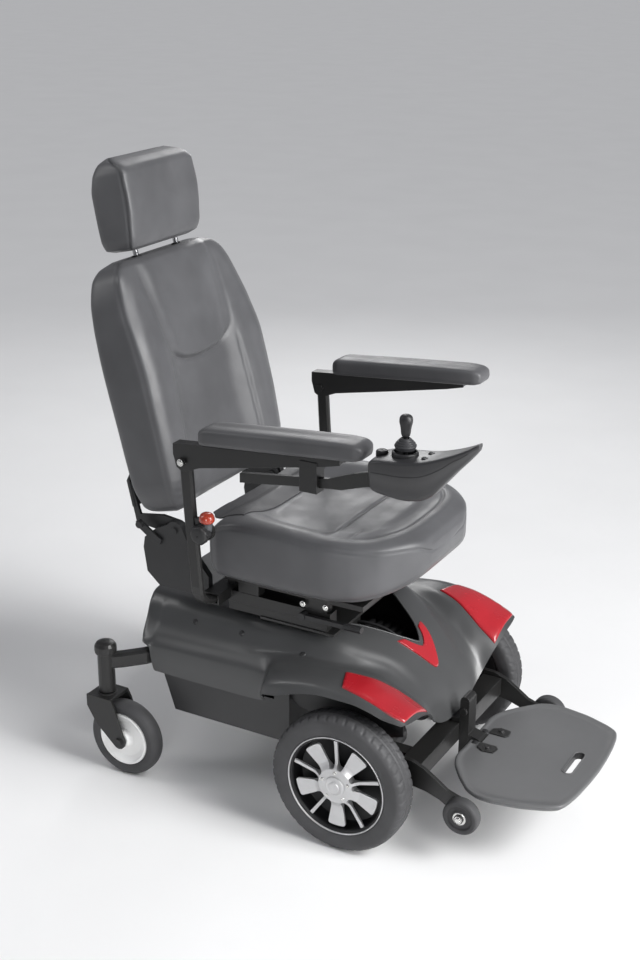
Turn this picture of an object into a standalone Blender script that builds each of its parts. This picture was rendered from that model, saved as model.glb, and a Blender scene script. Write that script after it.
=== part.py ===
# Power wheelchair: front drive wheels, rear swivel casters, captain's seat.
# Blender 4.5 script, metres, +Z up. +X is the way the chair drives, +Y is the
# user's left. Everything is modelled in the drive axle's own frame (x = 0 on
# the axle, y = 0 on the centre line, z = 0 on the ground) and hangs from one
# empty that puts the middle of the chair's footprint at the origin.

import math

import bmesh
import bpy
from mathutils import Matrix, Vector
from mathutils.bvhtree import BVHTree

for old in list(bpy.data.objects):
    bpy.data.objects.remove(old, do_unlink=True)

# ------------------------------------------------------------ main dimensions
AXLE_X = 0.1305         # drive axle, ahead of the middle of the footprint
GAP = 0.0003            # clearance between pieces that rest on each other

DRIVE_R = 0.153         # drive wheel radius (12 inch class)
DRIVE_W = 0.0655        # drive tyre width
DRIVE_Y = 0.2915        # drive wheel middle, from the centre line
RIM_R = 0.1112          # drive rim outer radius

CASTER_R = 0.089        # rear caster radius (7 inch)
CASTER_W = 0.042
CASTER_RIM_R = 0.0622
CASTER_X = -0.553       # caster axle
SWIVEL_X = -0.603       # caster swivel axis
CASTER_Y = 0.282

TIP_R = 0.039           # front anti-tip wheel
TIP_W = 0.026
TIP_X, TIP_Y, TIP_Z = 0.249, 0.242, 0.118

SEAT_Z = 0.501          # top of the seat pan
ARM_Y = 0.285           # armrest post, from the centre line
ARM_PIVOT = (-0.371, ARM_Y, 0.786)
RECLINE = (-0.455, 0.585)       # backrest hinge, x and z
BACK_FOOT = (-0.534, 0.590)     # bottom rear edge of the backrest, x and z
BACK_TILT = math.radians(13.0)  # backrest lean at rest
STICK = (0.1215, -ARM_Y, 0.905) # joystick gimbal centre
FOOT_HINGE = (0.181, 0.149)     # footplate hinge, x and z
FOOT_TOP = 0.158                # top of the footplate

BACK_D = Vector((-math.sin(BACK_TILT), 0.0, math.cos(BACK_TILT)))
BACK_N = Vector((math.cos(BACK_TILT), 0.0, math.sin(BACK_TILT)))


def on_back(s, n, y):
    """A point on the backrest: s up its lean, n forward of its rear face."""
    foot = Vector((BACK_FOOT[0], 0.0, BACK_FOOT[1]))
    return foot + BACK_D * s + BACK_N * n + Vector((0.0, y, 0.0))


# ------------------------------------------------------------------ materials
def material(name, rgb, rough, metal=0.0):
    mat = bpy.data.materials.new(name)
    mat.use_nodes = True
    node = mat.node_tree.nodes["Principled BSDF"]
    node.inputs["Base Color"].default_value = (*rgb, 1.0)
    node.inputs["Roughness"].default_value = rough
    node.inputs["Metallic"].default_value = metal
    mat.diffuse_color = (*rgb, 1.0)
    return mat


BLACK_STEEL = material("black_powder_coat", (0.022, 0.022, 0.024), 0.45)
SHROUD = material("shroud_plastic", (0.075, 0.076, 0.080), 0.38)
BLACK_PLASTIC = material("black_plastic", (0.030, 0.030, 0.032), 0.5)
RED = material("red_trim", (0.42, 0.020, 0.030), 0.22)
VINYL = material("charcoal_vinyl", (0.055, 0.056, 0.062), 0.42)
TYRE = material("tyre_rubber", (0.060, 0.060, 0.064), 0.7)
ALLOY = material("cast_alloy", (0.62, 0.62, 0.62), 0.3, 1.0)
WHITE = material("white_plastic", (0.80, 0.80, 0.80), 0.35)
ZINC = material("zinc_steel", (0.55, 0.55, 0.54), 0.3, 1.0)
BATTERY = material("battery_case", (0.05, 0.05, 0.06), 0.5)

# ----------------------------------------------------------- mesh building
def add_object(name, verts, faces):
    mesh = bpy.data.meshes.new(name)
    mesh.from_pydata([tuple(v) for v in verts], [], faces)
    bm = bmesh.new()
    bm.from_mesh(mesh)
    bmesh.ops.remove_doubles(bm, verts=bm.verts, dist=1e-6)
    bmesh.ops.recalc_face_normals(bm, faces=bm.faces)
    bm.to_mesh(mesh)
    bm.free()
    obj = bpy.data.objects.new(name, mesh)
    bpy.context.scene.collection.objects.link(obj)
    return obj


def box(lo, hi, name="box"):
    x0, y0, z0 = (min(a, b) for a, b in zip(lo, hi))
    x1, y1, z1 = (max(a, b) for a, b in zip(lo, hi))
    verts = [(x, y, z) for z in (z0, z1) for y in (y0, y1) for x in (x0, x1)]
    faces = [(0, 2, 3, 1), (4, 5, 7, 6), (0, 1, 5, 4), (2, 6, 7, 3), (0, 4, 6, 2), (1, 3, 7, 5)]
    return add_object(name, verts, faces)


def prism(axis, outline, a, b, name="prism"):
    """Extrudes a flat outline along X, Y or Z from a to b."""
    def at(p, h):
        if axis == "X":
            return (h, p[0], p[1])
        if axis == "Y":
            return (p[0], h, p[1])
        return (p[0], p[1], h)

    n = len(outline)
    verts = [at(p, a) for p in outline] + [at(p, b) for p in outline]
    faces = [tuple(range(n))[::-1], tuple(range(n, 2 * n))]
    faces += [(i, (i + 1) % n, n + (i + 1) % n, n + i) for i in range(n)]
    return add_object(name, verts, faces)


def frame_at(centre, axis="Z"):
    """Matrix that puts local Z along the axis, at the centre."""
    direction = {"X": (1, 0, 0), "Y": (0, 1, 0), "Z": (0, 0, 1)}[axis] if isinstance(axis, str) else axis
    turn = Vector(direction).to_track_quat("Z", "Y").to_matrix().to_4x4()
    return Matrix.Translation(Vector(centre)) @ turn


def lathe(profile, frame, n=24, closed=False, name="turned", phase=0.0):
    """Turns a profile of (radius, height) about local Z. A closed profile is a ring."""
    verts, rows = [], []
    for r, h in profile:
        if r < 1e-9:
            rows.append([len(verts)] * n)
            verts.append(frame @ Vector((0, 0, h)))
        else:
            rows.append(list(range(len(verts), len(verts) + n)))
            for k in range(n):
                a = 2 * math.pi * k / n + phase
                verts.append(frame @ Vector((r * math.cos(a), r * math.sin(a), h)))
    faces = []
    last = len(rows) if closed else len(rows) - 1
    for i in range(last):
        a, b = rows[i], rows[(i + 1) % len(rows)]
        for k in range(n):
            q = [a[k], a[(k + 1) % n], b[(k + 1) % n], b[k]]
            face = [v for j, v in enumerate(q) if v not in q[:j]]
            if len(face) > 2:
                faces.append(tuple(face))
    return add_object(name, verts, faces)


def rod(a, b, r, n=12, name="rod"):
    a, b = Vector(a), Vector(b)
    length = (b - a).length
    return lathe([(0, 0), (r, 0), (r, length), (0, length)], frame_at(a, b - a), n, name=name)


def loft(rings, name="loft"):
    """Skins rings of equal point count, with flat ends."""
    n = len(rings[0])
    verts = [p for ring in rings for p in ring]
    faces = [tuple(range(n)), tuple(range((len(rings) - 1) * n, len(rings) * n))[::-1]]
    for i in range(len(rings) - 1):
        for k in range(n):
            faces.append((i * n + k, i * n + (k + 1) % n, (i + 1) * n + (k + 1) % n, (i + 1) * n + k))
    return add_object(name, verts, faces)


def sweep(path, section, side, name="sweep"):
    """Carries a flat section (across, thick) along a path. side is the across direction."""
    path = [Vector(p) for p in path]
    side = Vector(side).normalized()
    rings = []
    for i, p in enumerate(path):
        before = (p - path[i - 1]).normalized() if i else None
        after = (path[i + 1] - p).normalized() if i + 1 < len(path) else None
        t = ((before or after) + (after or before)).normalized()
        thick = t.cross(side).normalized()
        stretch = 1.0
        if before and after:
            stretch = 1.0 / max(0.5, math.sqrt((1 + before.dot(after)) / 2))
        rings.append([p + side * u + thick * (w * stretch) for u, w in section])
    return loft(rings, name)


def triangles(obj):
    bm = bmesh.new()
    bm.from_mesh(obj.data)
    bmesh.ops.triangulate(bm, faces=bm.faces)
    bm.to_mesh(obj.data)
    bm.free()
    return obj


def rounded(w, h, r, n=2):
    """Outline of a rectangle w by h with corners of radius r."""
    pts = []
    for cx, cy, start in ((w / 2 - r, h / 2 - r, 0), (-w / 2 + r, h / 2 - r, 90), (-w / 2 + r, -h / 2 + r, 180), (w / 2 - r, -h / 2 + r, 270)):
        for k in range(n + 1):
            a = math.radians(start + 90 * k / n)
            pts.append((cx + r * math.cos(a), cy + r * math.sin(a)))
    return pts


def arc(cx, cy, r, start, end, n):
    return [(cx + r * math.cos(math.radians(start + (end - start) * k / n)), cy + r * math.sin(math.radians(start + (end - start) * k / n))) for k in range(n + 1)]


def boolean(base, others, operation):
    for other in others:
        mod = base.modifiers.new("b", "BOOLEAN")
        mod.operation = operation
        mod.object = other
    graph = bpy.context.evaluated_depsgraph_get()
    mesh = bpy.data.meshes.new_from_object(base.evaluated_get(graph))
    base.modifiers.clear()
    base.data = mesh
    for other in others:
        bpy.data.objects.remove(other, do_unlink=True)
    return base


def fuse(base, *others):
    return boolean(base, others, "UNION")


def cut(base, *others):
    return boolean(base, others, "DIFFERENCE")


# --------------------------------------------------------- tree of pivots
ROOT = bpy.data.objects.new("wheelchair_origin", None)
bpy.context.scene.collection.objects.link(ROOT)
ROOT.location = (AXLE_X, 0.0, 0.0)
AT = {"wheelchair_origin": Vector((0, 0, 0))}


def pivot(name, where, parent=None):
    parent = parent or ROOT
    empty = bpy.data.objects.new(name, None)
    bpy.context.scene.collection.objects.link(empty)
    empty.parent = parent
    empty.location = Vector(where) - AT[parent.name]
    AT[name] = Vector(where)
    return empty


def finish(obj, name, mat, parent=None, smooth=None):
    """Names the piece, gives it its material and hangs it on its pivot."""
    parent = parent or ROOT
    where = AT[parent.name]
    obj.name = name
    obj.data.name = name
    obj.data.transform(Matrix.Translation(-where))
    obj.parent = parent
    obj.data.materials.clear()
    obj.data.materials.append(mat)
    for poly in obj.data.polygons:
        poly.material_index = 0
    if smooth:
        obj.data.shade_smooth()
        obj.data.set_sharp_from_angle(angle=math.radians(smooth))
    return obj


def side_name(s):
    return "right" if s < 0 else "left"


# ============================================================ the shroud skin
# Stations run from the back of the chair to its nose. Each gives nine points
# from the middle of the deck out to the lower edge of the side: deck middle,
# deck, deck shoulder, shoulder, groove, ledge or fender crest, fender top,
# fender side, lower edge.
def station(x, *pts):
    return [(p[2] if len(p) > 2 else x, p[0], p[1]) for p in pts]


SKIN = [
    station(-0.5600, (0, 0.3090), (0.085, 0.3090), (0.145, 0.3085, -0.5590), (0.170, 0.3080, -0.5570), (0.190, 0.3075, -0.5540), (0.212, 0.3070, -0.5490), (0.224, 0.3065, -0.5440), (0.230, 0.3060, -0.5400), (0.2310, 0.3055, -0.5370)),
    station(-0.5580, (0, 0.4000), (0.085, 0.4000), (0.148, 0.3960, -0.5570), (0.172, 0.3800, -0.5550), (0.194, 0.3470, -0.5520), (0.215, 0.3250, -0.5470), (0.2270, 0.3160, -0.5410), (0.2330, 0.3110, -0.5370), (0.2345, 0.3070, -0.5340)),
    station(-0.5490, (0, 0.4080), (0.088, 0.4080), (0.152, 0.4045, -0.5480), (0.179, 0.3890, -0.5460), (0.201, 0.3520, -0.5430), (0.222, 0.3275, -0.5380), (0.2330, 0.3180, -0.5330), (0.2370, 0.3120, -0.5290), (0.2375, 0.3060, -0.5260)),
    station(-0.5170, (0, 0.4080), (0.089, 0.4080), (0.154, 0.4045), (0.181, 0.3890), (0.203, 0.3510), (0.222, 0.3290), (0.2360, 0.3150), (0.2392, 0.3090), (0.2395, 0.3030)),
    station(-0.5020, (0, 0.4080), (0.090, 0.4080), (0.156, 0.4045), (0.183, 0.3890), (0.205, 0.3500), (0.222, 0.3290), (0.2370, 0.3060), (0.2400, 0.2760), (0.2400, 0.2480)),
    station(-0.4000, (0, 0.4080), (0.090, 0.4080), (0.158, 0.4045), (0.185, 0.3890), (0.205, 0.3520), (0.222, 0.3320), (0.2390, 0.3100), (0.2420, 0.2780), (0.2420, 0.2490)),
    station(-0.2700, (0, 0.4080), (0.090, 0.4080), (0.160, 0.4045), (0.187, 0.3890), (0.204, 0.3550), (0.222, 0.3380), (0.2400, 0.3150), (0.2440, 0.2800), (0.2440, 0.2510)),
    station(-0.2150, (0, 0.4080), (0.090, 0.4080), (0.161, 0.4045), (0.187, 0.3890), (0.203, 0.3580), (0.223, 0.3440), (0.2450, 0.3200), (0.2520, 0.2850), (0.2530, 0.2600)),
    station(-0.1950, (0, 0.4080), (0.090, 0.4080), (0.161, 0.4045), (0.186, 0.3895), (0.203, 0.3600), (0.226, 0.3470), (0.2580, 0.3380), (0.2850, 0.3180), (0.2920, 0.2980)),
    station(-0.1500, (0, 0.4080), (0.090, 0.4080), (0.161, 0.4050), (0.185, 0.3900), (0.202, 0.3620), (0.230, 0.3560), (0.2650, 0.3520), (0.2930, 0.3370), (0.3020, 0.3120)),
    station(-0.0900, (0, 0.4020), (0.085, 0.4030), (0.152, 0.3970), (0.177, 0.3830), (0.199, 0.3600), (0.232, 0.3640), (0.2680, 0.3620), (0.2940, 0.3520), (0.3040, 0.3340)),
    station(-0.0400, (0, 0.3860), (0.070, 0.3870), (0.132, 0.3800), (0.158, 0.3680), (0.184, 0.3530), (0.226, 0.3650), (0.2640, 0.3650), (0.2930, 0.3570), (0.3040, 0.3420)),
    station(0.0200, (0, 0.3560), (0.045, 0.3580), (0.098, 0.3540), (0.126, 0.3440), (0.156, 0.3360), (0.208, 0.3560), (0.2560, 0.3600), (0.2910, 0.3540), (0.3030, 0.3410)),
    station(0.0600, (0, 0.3180), (0.038, 0.3200), (0.082, 0.3200), (0.112, 0.3140), (0.142, 0.3120), (0.192, 0.3380), (0.2480, 0.3490), (0.2880, 0.3460), (0.3010, 0.3330)),
    station(0.0950, (0, 0.2680), (0.036, 0.2700), (0.076, 0.2740), (0.105, 0.2760), (0.132, 0.2840), (0.180, 0.3160), (0.2400, 0.3340), (0.2820, 0.3340), (0.2960, 0.3200)),
    station(0.1150, (0, 0.2280), (0.036, 0.2300), (0.075, 0.2370), (0.103, 0.2450), (0.128, 0.2600, 0.116), (0.175, 0.3000, 0.120), (0.2360, 0.3220, 0.124), (0.2780, 0.3240, 0.122), (0.2930, 0.3170, 0.118)),
    station(0.1240, (0, 0.2010), (0.036, 0.2030), (0.073, 0.2130), (0.099, 0.2270, 0.125), (0.124, 0.2440, 0.128), (0.171, 0.2860, 0.139), (0.2340, 0.3110, 0.144), (0.2750, 0.3160, 0.140), (0.2900, 0.3150, 0.130)),
]


def smooth_curve(values, t, flat_start=False):
    """Cubic through the values, without overshoot, at t counted in intervals."""
    last = len(values) - 1
    i = max(0, min(int(t), last - 1))
    f = t - i

    def slope(k):
        if k == 0:
            return 0.0 if flat_start else values[1] - values[0]
        if k == last:
            return values[last] - values[last - 1]
        a, b = values[k] - values[k - 1], values[k + 1] - values[k]
        return 0.0 if a * b <= 0 else 2 * a * b / (a + b)

    m0, m1 = slope(i), slope(i + 1)
    return ((2 * f**3 - 3 * f**2 + 1) * values[i] + (f**3 - 2 * f**2 + f) * m0 + (-2 * f**3 + 3 * f**2) * values[i + 1] + (f**3 - f**2) * m1)


def skin_point(u, v):
    """The shroud's outer skin: u along the stations, v from the middle (0) to the edge (8)."""
    rows = []
    for axis in range(3):
        across = [smooth_curve([p[axis] for p in st], v, axis == 2) for st in SKIN]
        rows.append(smooth_curve(across, u))
    return Vector(rows)


def skin_at(x, y):
    """Point and outward normal of the skin above plan position x, y."""
    s = -1.0 if y < 0 else 1.0
    lo_u, hi_u, v = 2.0, len(SKIN) - 1.0, 4.0
    u = 8.0
    for _ in range(8):
        a, b = lo_u, hi_u
        for _ in range(22):
            u = (a + b) / 2
            if skin_point(u, v).x < x:
                a = u
            else:
                b = u
        a, b = 0.0, 8.0
        for _ in range(22):
            v = (a + b) / 2
            if skin_point(u, v).y < abs(y):
                a = v
            else:
                b = v
    p = skin_point(u, v)
    du = skin_point(min(u + 0.05, hi_u), v) - skin_point(max(u - 0.05, 0), v)
    dv = skin_point(u, min(v + 0.05, 8)) - skin_point(u, max(v - 0.05, 0))
    if v < 0.05:
        dv = Vector((0, 1, 0))
    n = du.cross(dv).normalized()
    if n.z < 0:
        n = -n
    return Vector((p.x, s * p.y, p.z)), Vector((n.x, s * n.y, n.z))


def shell(rows, thickness, name):
    """A grid of points, doubled inward to a thickness and closed round its edge."""
    nr, nc = len(rows), len(rows[0])
    mesh = bpy.data.meshes.new(name)
    verts = [p for row in rows for p in row]
    faces = [(i * nc + k, i * nc + k + 1, (i + 1) * nc + k + 1, (i + 1) * nc + k) for i in range(nr - 1) for k in range(nc - 1)]
    mesh.from_pydata([tuple(v) for v in verts], [], faces)
    bm = bmesh.new()
    bm.from_mesh(mesh)
    bm.normal_update()
    inner = {}
    for v in list(bm.verts):
        normal = Vector((0, 0, 0))
        for f in v.link_faces:
            normal += f.normal * f.calc_area()
        normal.normalize()
        inner[v] = bm.verts.new(v.co - normal * thickness)
    edges = [e for e in bm.edges if len(e.link_faces) == 1]
    border = [(e.verts[0], e.verts[1]) for e in edges]
    for f in list(bm.faces):
        bm.faces.new([inner[v] for v in reversed(f.verts)])
    for a, b in border:
        bm.faces.new([a, b, inner[b], inner[a]])
    bmesh.ops.triangulate(bm, faces=bm.faces)
    bmesh.ops.recalc_face_normals(bm, faces=bm.faces)
    bm.to_mesh(mesh)
    bm.free()
    obj = bpy.data.objects.new(name, mesh)
    bpy.context.scene.collection.objects.link(obj)
    return obj


SKIN_TREE = []


def build_shroud():
    rows = []
    us = [float(i) for i in range(len(SKIN))]
    vs = [0.5 * k for k in range(17)]
    for u in us:
        right = [skin_point(u, v) for v in reversed(vs)]
        row = [Vector((p.x, -p.y, p.z)) for p in right] + [skin_point(u, v) for v in vs[1:]]
        rows.append(row)
    rows = [list(reversed(row)) for row in rows]
    obj = shell(rows, 0.003, "base_shroud")
    leaf = [(-0.340, 0.150), (-0.290, 0.151), (-0.166, 0.133), (-0.100, 0.102), (-0.050, 0.070), (-0.005, 0.040), (0.020, 0.016), (0.030, 0.0)]
    outline = leaf + [(x, -y) for x, y in reversed(leaf[:-1])]
    SKIN_TREE.append(BVHTree.FromPolygons([v.co for v in obj.data.vertices], [tuple(f.vertices) for f in obj.data.polygons]))
    cut(obj, prism("Z", outline, 0.330, 0.450))
    finish(obj, "base_shroud", SHROUD, smooth=40)


def strip_on_skin(pairs, lift, thickness, name):
    """A thin moulding that follows the skin between pairs of plan positions."""
    across = 4
    low, high = [], []
    for (xa, ya), (xb, yb) in pairs:
        for k in range(across):
            f = k / (across - 1)
            p, n = skin_at(xa + (xb - xa) * f, ya + (yb - ya) * f)
            hit = SKIN_TREE[0].ray_cast(Vector((p.x, p.y, 1.0)), Vector((0, 0, -1)))[0]
            p = hit if hit else p
            low.append(p + n * lift)
            high.append(p + n * (lift + thickness))
    m, n = len(pairs), across
    total = m * n
    verts = high + low
    faces = []
    for i in range(m - 1):
        for k in range(n - 1):
            q = (i * n + k, i * n + k + 1, (i + 1) * n + k + 1, (i + 1) * n + k)
            faces.append(q)
            faces.append(tuple(total + v for v in reversed(q)))
    rim = [k for k in range(n)] + [i * n + n - 1 for i in range(1, m)] + [(m - 1) * n + k for k in range(n - 2, -1, -1)] + [i * n for i in range(m - 2, 0, -1)]
    for i, a in enumerate(rim):
        b = rim[(i + 1) % len(rim)]
        faces.append((a, b, total + b, total + a))
    return add_object(name, verts, faces)


def halve(pairs):
    """Adds a pair half way between each two."""
    out = [pairs[0]]
    for a, b in zip(pairs, pairs[1:]):
        out.append(tuple(((p[0] + q[0]) / 2, (p[1] + q[1]) / 2) for p, q in zip(a, b)))
        out.append(b)
    return out


def build_trims():
    for s in (-1, 1):
        inner = [(-0.028, 0.2275), (0.005, 0.2170), (0.045, 0.2010), (0.085, 0.1860), (0.115, 0.1790), (0.134, 0.1755)]
        outer = [(-0.008, 0.2820), (0.016, 0.2850), (0.050, 0.2870), (0.088, 0.2870), (0.117, 0.2850), (0.133, 0.2800)]
        pairs = halve([((xa, s * ya), (xb, s * yb)) for (xa, ya), (xb, yb) in zip(inner, outer)])
        obj = strip_on_skin(pairs, 0.0028, 0.0022, "trim")
        finish(obj, f"fender_trim_{side_name(s)}", RED, smooth=40)
    # The arrow on the nose: two arms that meet on the centre line.
    outer = [(0.004, 0.056), (0.030, 0.046), (0.052, 0.030), (0.070, 0.012)]
    inner = [(0.008, 0.036), (0.022, 0.026), (0.033, 0.013), (0.037, 0.004)]
    pairs = [((xb, -yb), (xa, -ya)) for (xa, ya), (xb, yb) in zip(inner, outer)]
    pairs.append(((0.075, 0.0), (0.038, 0.0)))
    pairs += [((xb, yb), (xa, ya)) for (xa, ya), (xb, yb) in reversed(list(zip(inner, outer)))]
    obj = strip_on_skin(halve(pairs), 0.0014, 0.0022, "nose_trim")
    finish(obj, "nose_trim", RED, smooth=40)


build_shroud()
build_trims()


# ============================================================== base frame
def build_frame():
    parts = []
    for s in (-1, 1):
        parts.append(box((-0.520, s * 0.150, 0.255), (0.055, s * 0.180, 0.295)))           # side rail
        plate = box((-0.055, s * 0.179, 0.100), (0.048, s * 0.186, 0.290))                 # motor plate
        parts.append(cut(plate, rod((0, s * 0.170, DRIVE_R), (0, s * 0.195, DRIVE_R), 0.0398, 24)))
        parts.append(box((0.043, s * 0.152, 0.148), (0.110, s * 0.182, 0.186)))            # front leg
        parts.append(box((0.043, s * 0.153, 0.160), (0.053, s * 0.1795, 0.270)))           # drop bracket
    parts.append(box((-0.530, -0.180, 0.2555), (-0.490, 0.180, 0.2945)))                   # rear cross member
    parts.append(box((-0.180, -0.160, 0.2560), (-0.140, 0.160, 0.2940)))                   # post cross member
    parts.append(box((0.020, -0.160, 0.2565), (0.0545, 0.160, 0.2935)))                    # front cross member
    parts.append(box((0.095, -0.2135, 0.1475), (0.140, 0.2135, 0.1880)))                   # front cross tube
    parts.append(box((-0.190, -0.030, 0.200), (-0.130, 0.030, 0.360)))                     # seat post socket
    frame = parts[0]
    for other in parts[1:]:
        frame = fuse(frame, other)
    frame = cut(frame, box((-0.183, -0.023, 0.215), (-0.137, 0.023, 0.380)))
    finish(frame, "base_frame", BLACK_STEEL)


def build_tray():
    outer = [(-0.4985, 0.2470), (-0.4660, 0.1500), (-0.1700, 0.1500), (-0.1700, 0.3000), (-0.2020, 0.3000), (-0.2080, 0.2470)]
    inner = [(-0.4950, 0.3100), (-0.4950, 0.2470), (-0.4630, 0.1530), (-0.1730, 0.1530), (-0.1730, 0.3100)]
    tray = prism("Y", outer, -0.2165, 0.2165)
    tray = cut(tray, prism("Y", inner, -0.2135, 0.2135), box((-0.180, -0.190, 0.250), (-0.160, 0.190, 0.310)), box((-0.180, -0.034, 0.190), (-0.160, 0.034, 0.260)))
    finish(tray, "battery_tray", BLACK_PLASTIC)
    for s in (-1, 1):
        case = box((-0.430, s * 0.004, 0.1535), (-0.236, s * 0.134, 0.3180))
        case = fuse(case, box((-0.412, s * 0.030, 0.3170), (-0.392, s * 0.050, 0.3260)), box((-0.274, s * 0.030, 0.3170), (-0.254, s * 0.050, 0.3260)))
        finish(case, f"battery_{side_name(s)}", BATTERY)
    ctrl = box((-0.128, -0.075, 0.2960), (-0.020, 0.075, 0.3300))
    fins = [box((-0.120 + 0.020 * k, -0.070, 0.3290), (-0.112 + 0.020 * k, 0.070, 0.3380)) for k in range(5)]
    ctrl = fuse(ctrl, *fins)
    ctrl = fuse(ctrl, box((-0.138, -0.080, 0.2953), (0.030, -0.060, 0.2990)), box((-0.138, 0.060, 0.2953), (0.030, 0.080, 0.2990)))
    finish(ctrl, "motor_controller", BLACK_PLASTIC)


def build_motor(s):
    profile = [(0, 0.056), (0.030, 0.056), (0.0370, 0.062), (0.0370, 0.1866), (0.0450, 0.1866), (0.0450, 0.236), (0.036, 0.250), (0.0140, 0.250), (0.0140, 0.208), (0, 0.208)]
    motor = lathe(profile, frame_at((0, 0, DRIVE_R), (0, s, 0)), 20)
    pad = box((0.036, s * 0.203, 0.153), (0.0490, s * 0.227, 0.177))
    finish(fuse(motor, pad), f"gear_motor_{side_name(s)}", BLACK_STEEL, smooth=35)
    # Freewheel lever: it turns on a stud at the front of the gearbox.
    hinge = (0.0530, s * 0.215, 0.165)
    stem = pivot(f"pivot_freewheel_{side_name(s)}", hinge)
    lever = rod((0.0495, s * 0.215, 0.165), (0.0560, s * 0.215, 0.165), 0.011, 12)
    lever = fuse(lever, box((0.0500, s * 0.209, 0.165), (0.0555, s * 0.221, 0.208)))
    finish(lever, f"freewheel_lever_{side_name(s)}", RED, stem)


def build_drive_wheel(s):
    where = (0, s * DRIVE_Y, DRIVE_R)
    axle = pivot(f"pivot_drive_{side_name(s)}", where)
    out = frame_at(where, (0, s, 0))
    tread = [(0.1115, -0.0290), (0.1290, -0.0327), (0.1440, -0.0315), (0.1515, -0.0240), (DRIVE_R, -0.0100), (DRIVE_R, 0.0100), (0.1515, 0.0240), (0.1440, 0.0315), (0.1290, 0.0327), (0.1115, 0.0305)]
    finish(lathe(tread, out, 32, closed=True), f"drive_tyre_{side_name(s)}", TYRE, axle, smooth=35)
    rim = lathe([(RIM_R, -0.0285), (RIM_R, 0.0310), (0.1050, 0.0318), (0.1015, 0.0240), (0.0500, 0.0215), (0.0430, 0.0300), (0.0200, 0.0322), (0.0130, 0.0322), (0.0130, -0.0100), (0.0420, -0.0060), (0.0480, 0.0080), (0.0990, 0.0100), (0.1040, -0.0150), (0.1050, -0.0285)], out, 32, closed=True)
    windows = []
    for k in range(5):
        for mirror in (-1, 1):
            turns = [(0.0445, 14.0), (0.0445, 32.5), (0.0985, 34.3), (0.0995, 24.0), (0.0985, 12.0)]
            pts = [(r * math.cos(math.radians(19.3 + 72 * k + mirror * a)), r * math.sin(math.radians(19.3 + 72 * k + mirror * a))) for r, a in turns]
            lo = [out @ Vector((x, y, -0.02)) for x, y in pts]
            hi = [out @ Vector((x, y, 0.04)) for x, y in pts]
            windows.append(loft([lo, hi]))
    rim = cut(rim, *windows)
    finish(rim, f"drive_rim_{side_name(s)}", ALLOY, axle, smooth=35)
    back = -(DRIVE_Y - 0.2085)
    hub = lathe([(0, back), (0.0122, back), (0.0122, 0.0326), (0.0230, 0.0326), (0.0215, 0.0360), (0.0120, 0.0376), (0, 0.0378)], out, 16)
    finish(hub, f"drive_hub_{side_name(s)}", ALLOY, axle, smooth=35)


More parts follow.
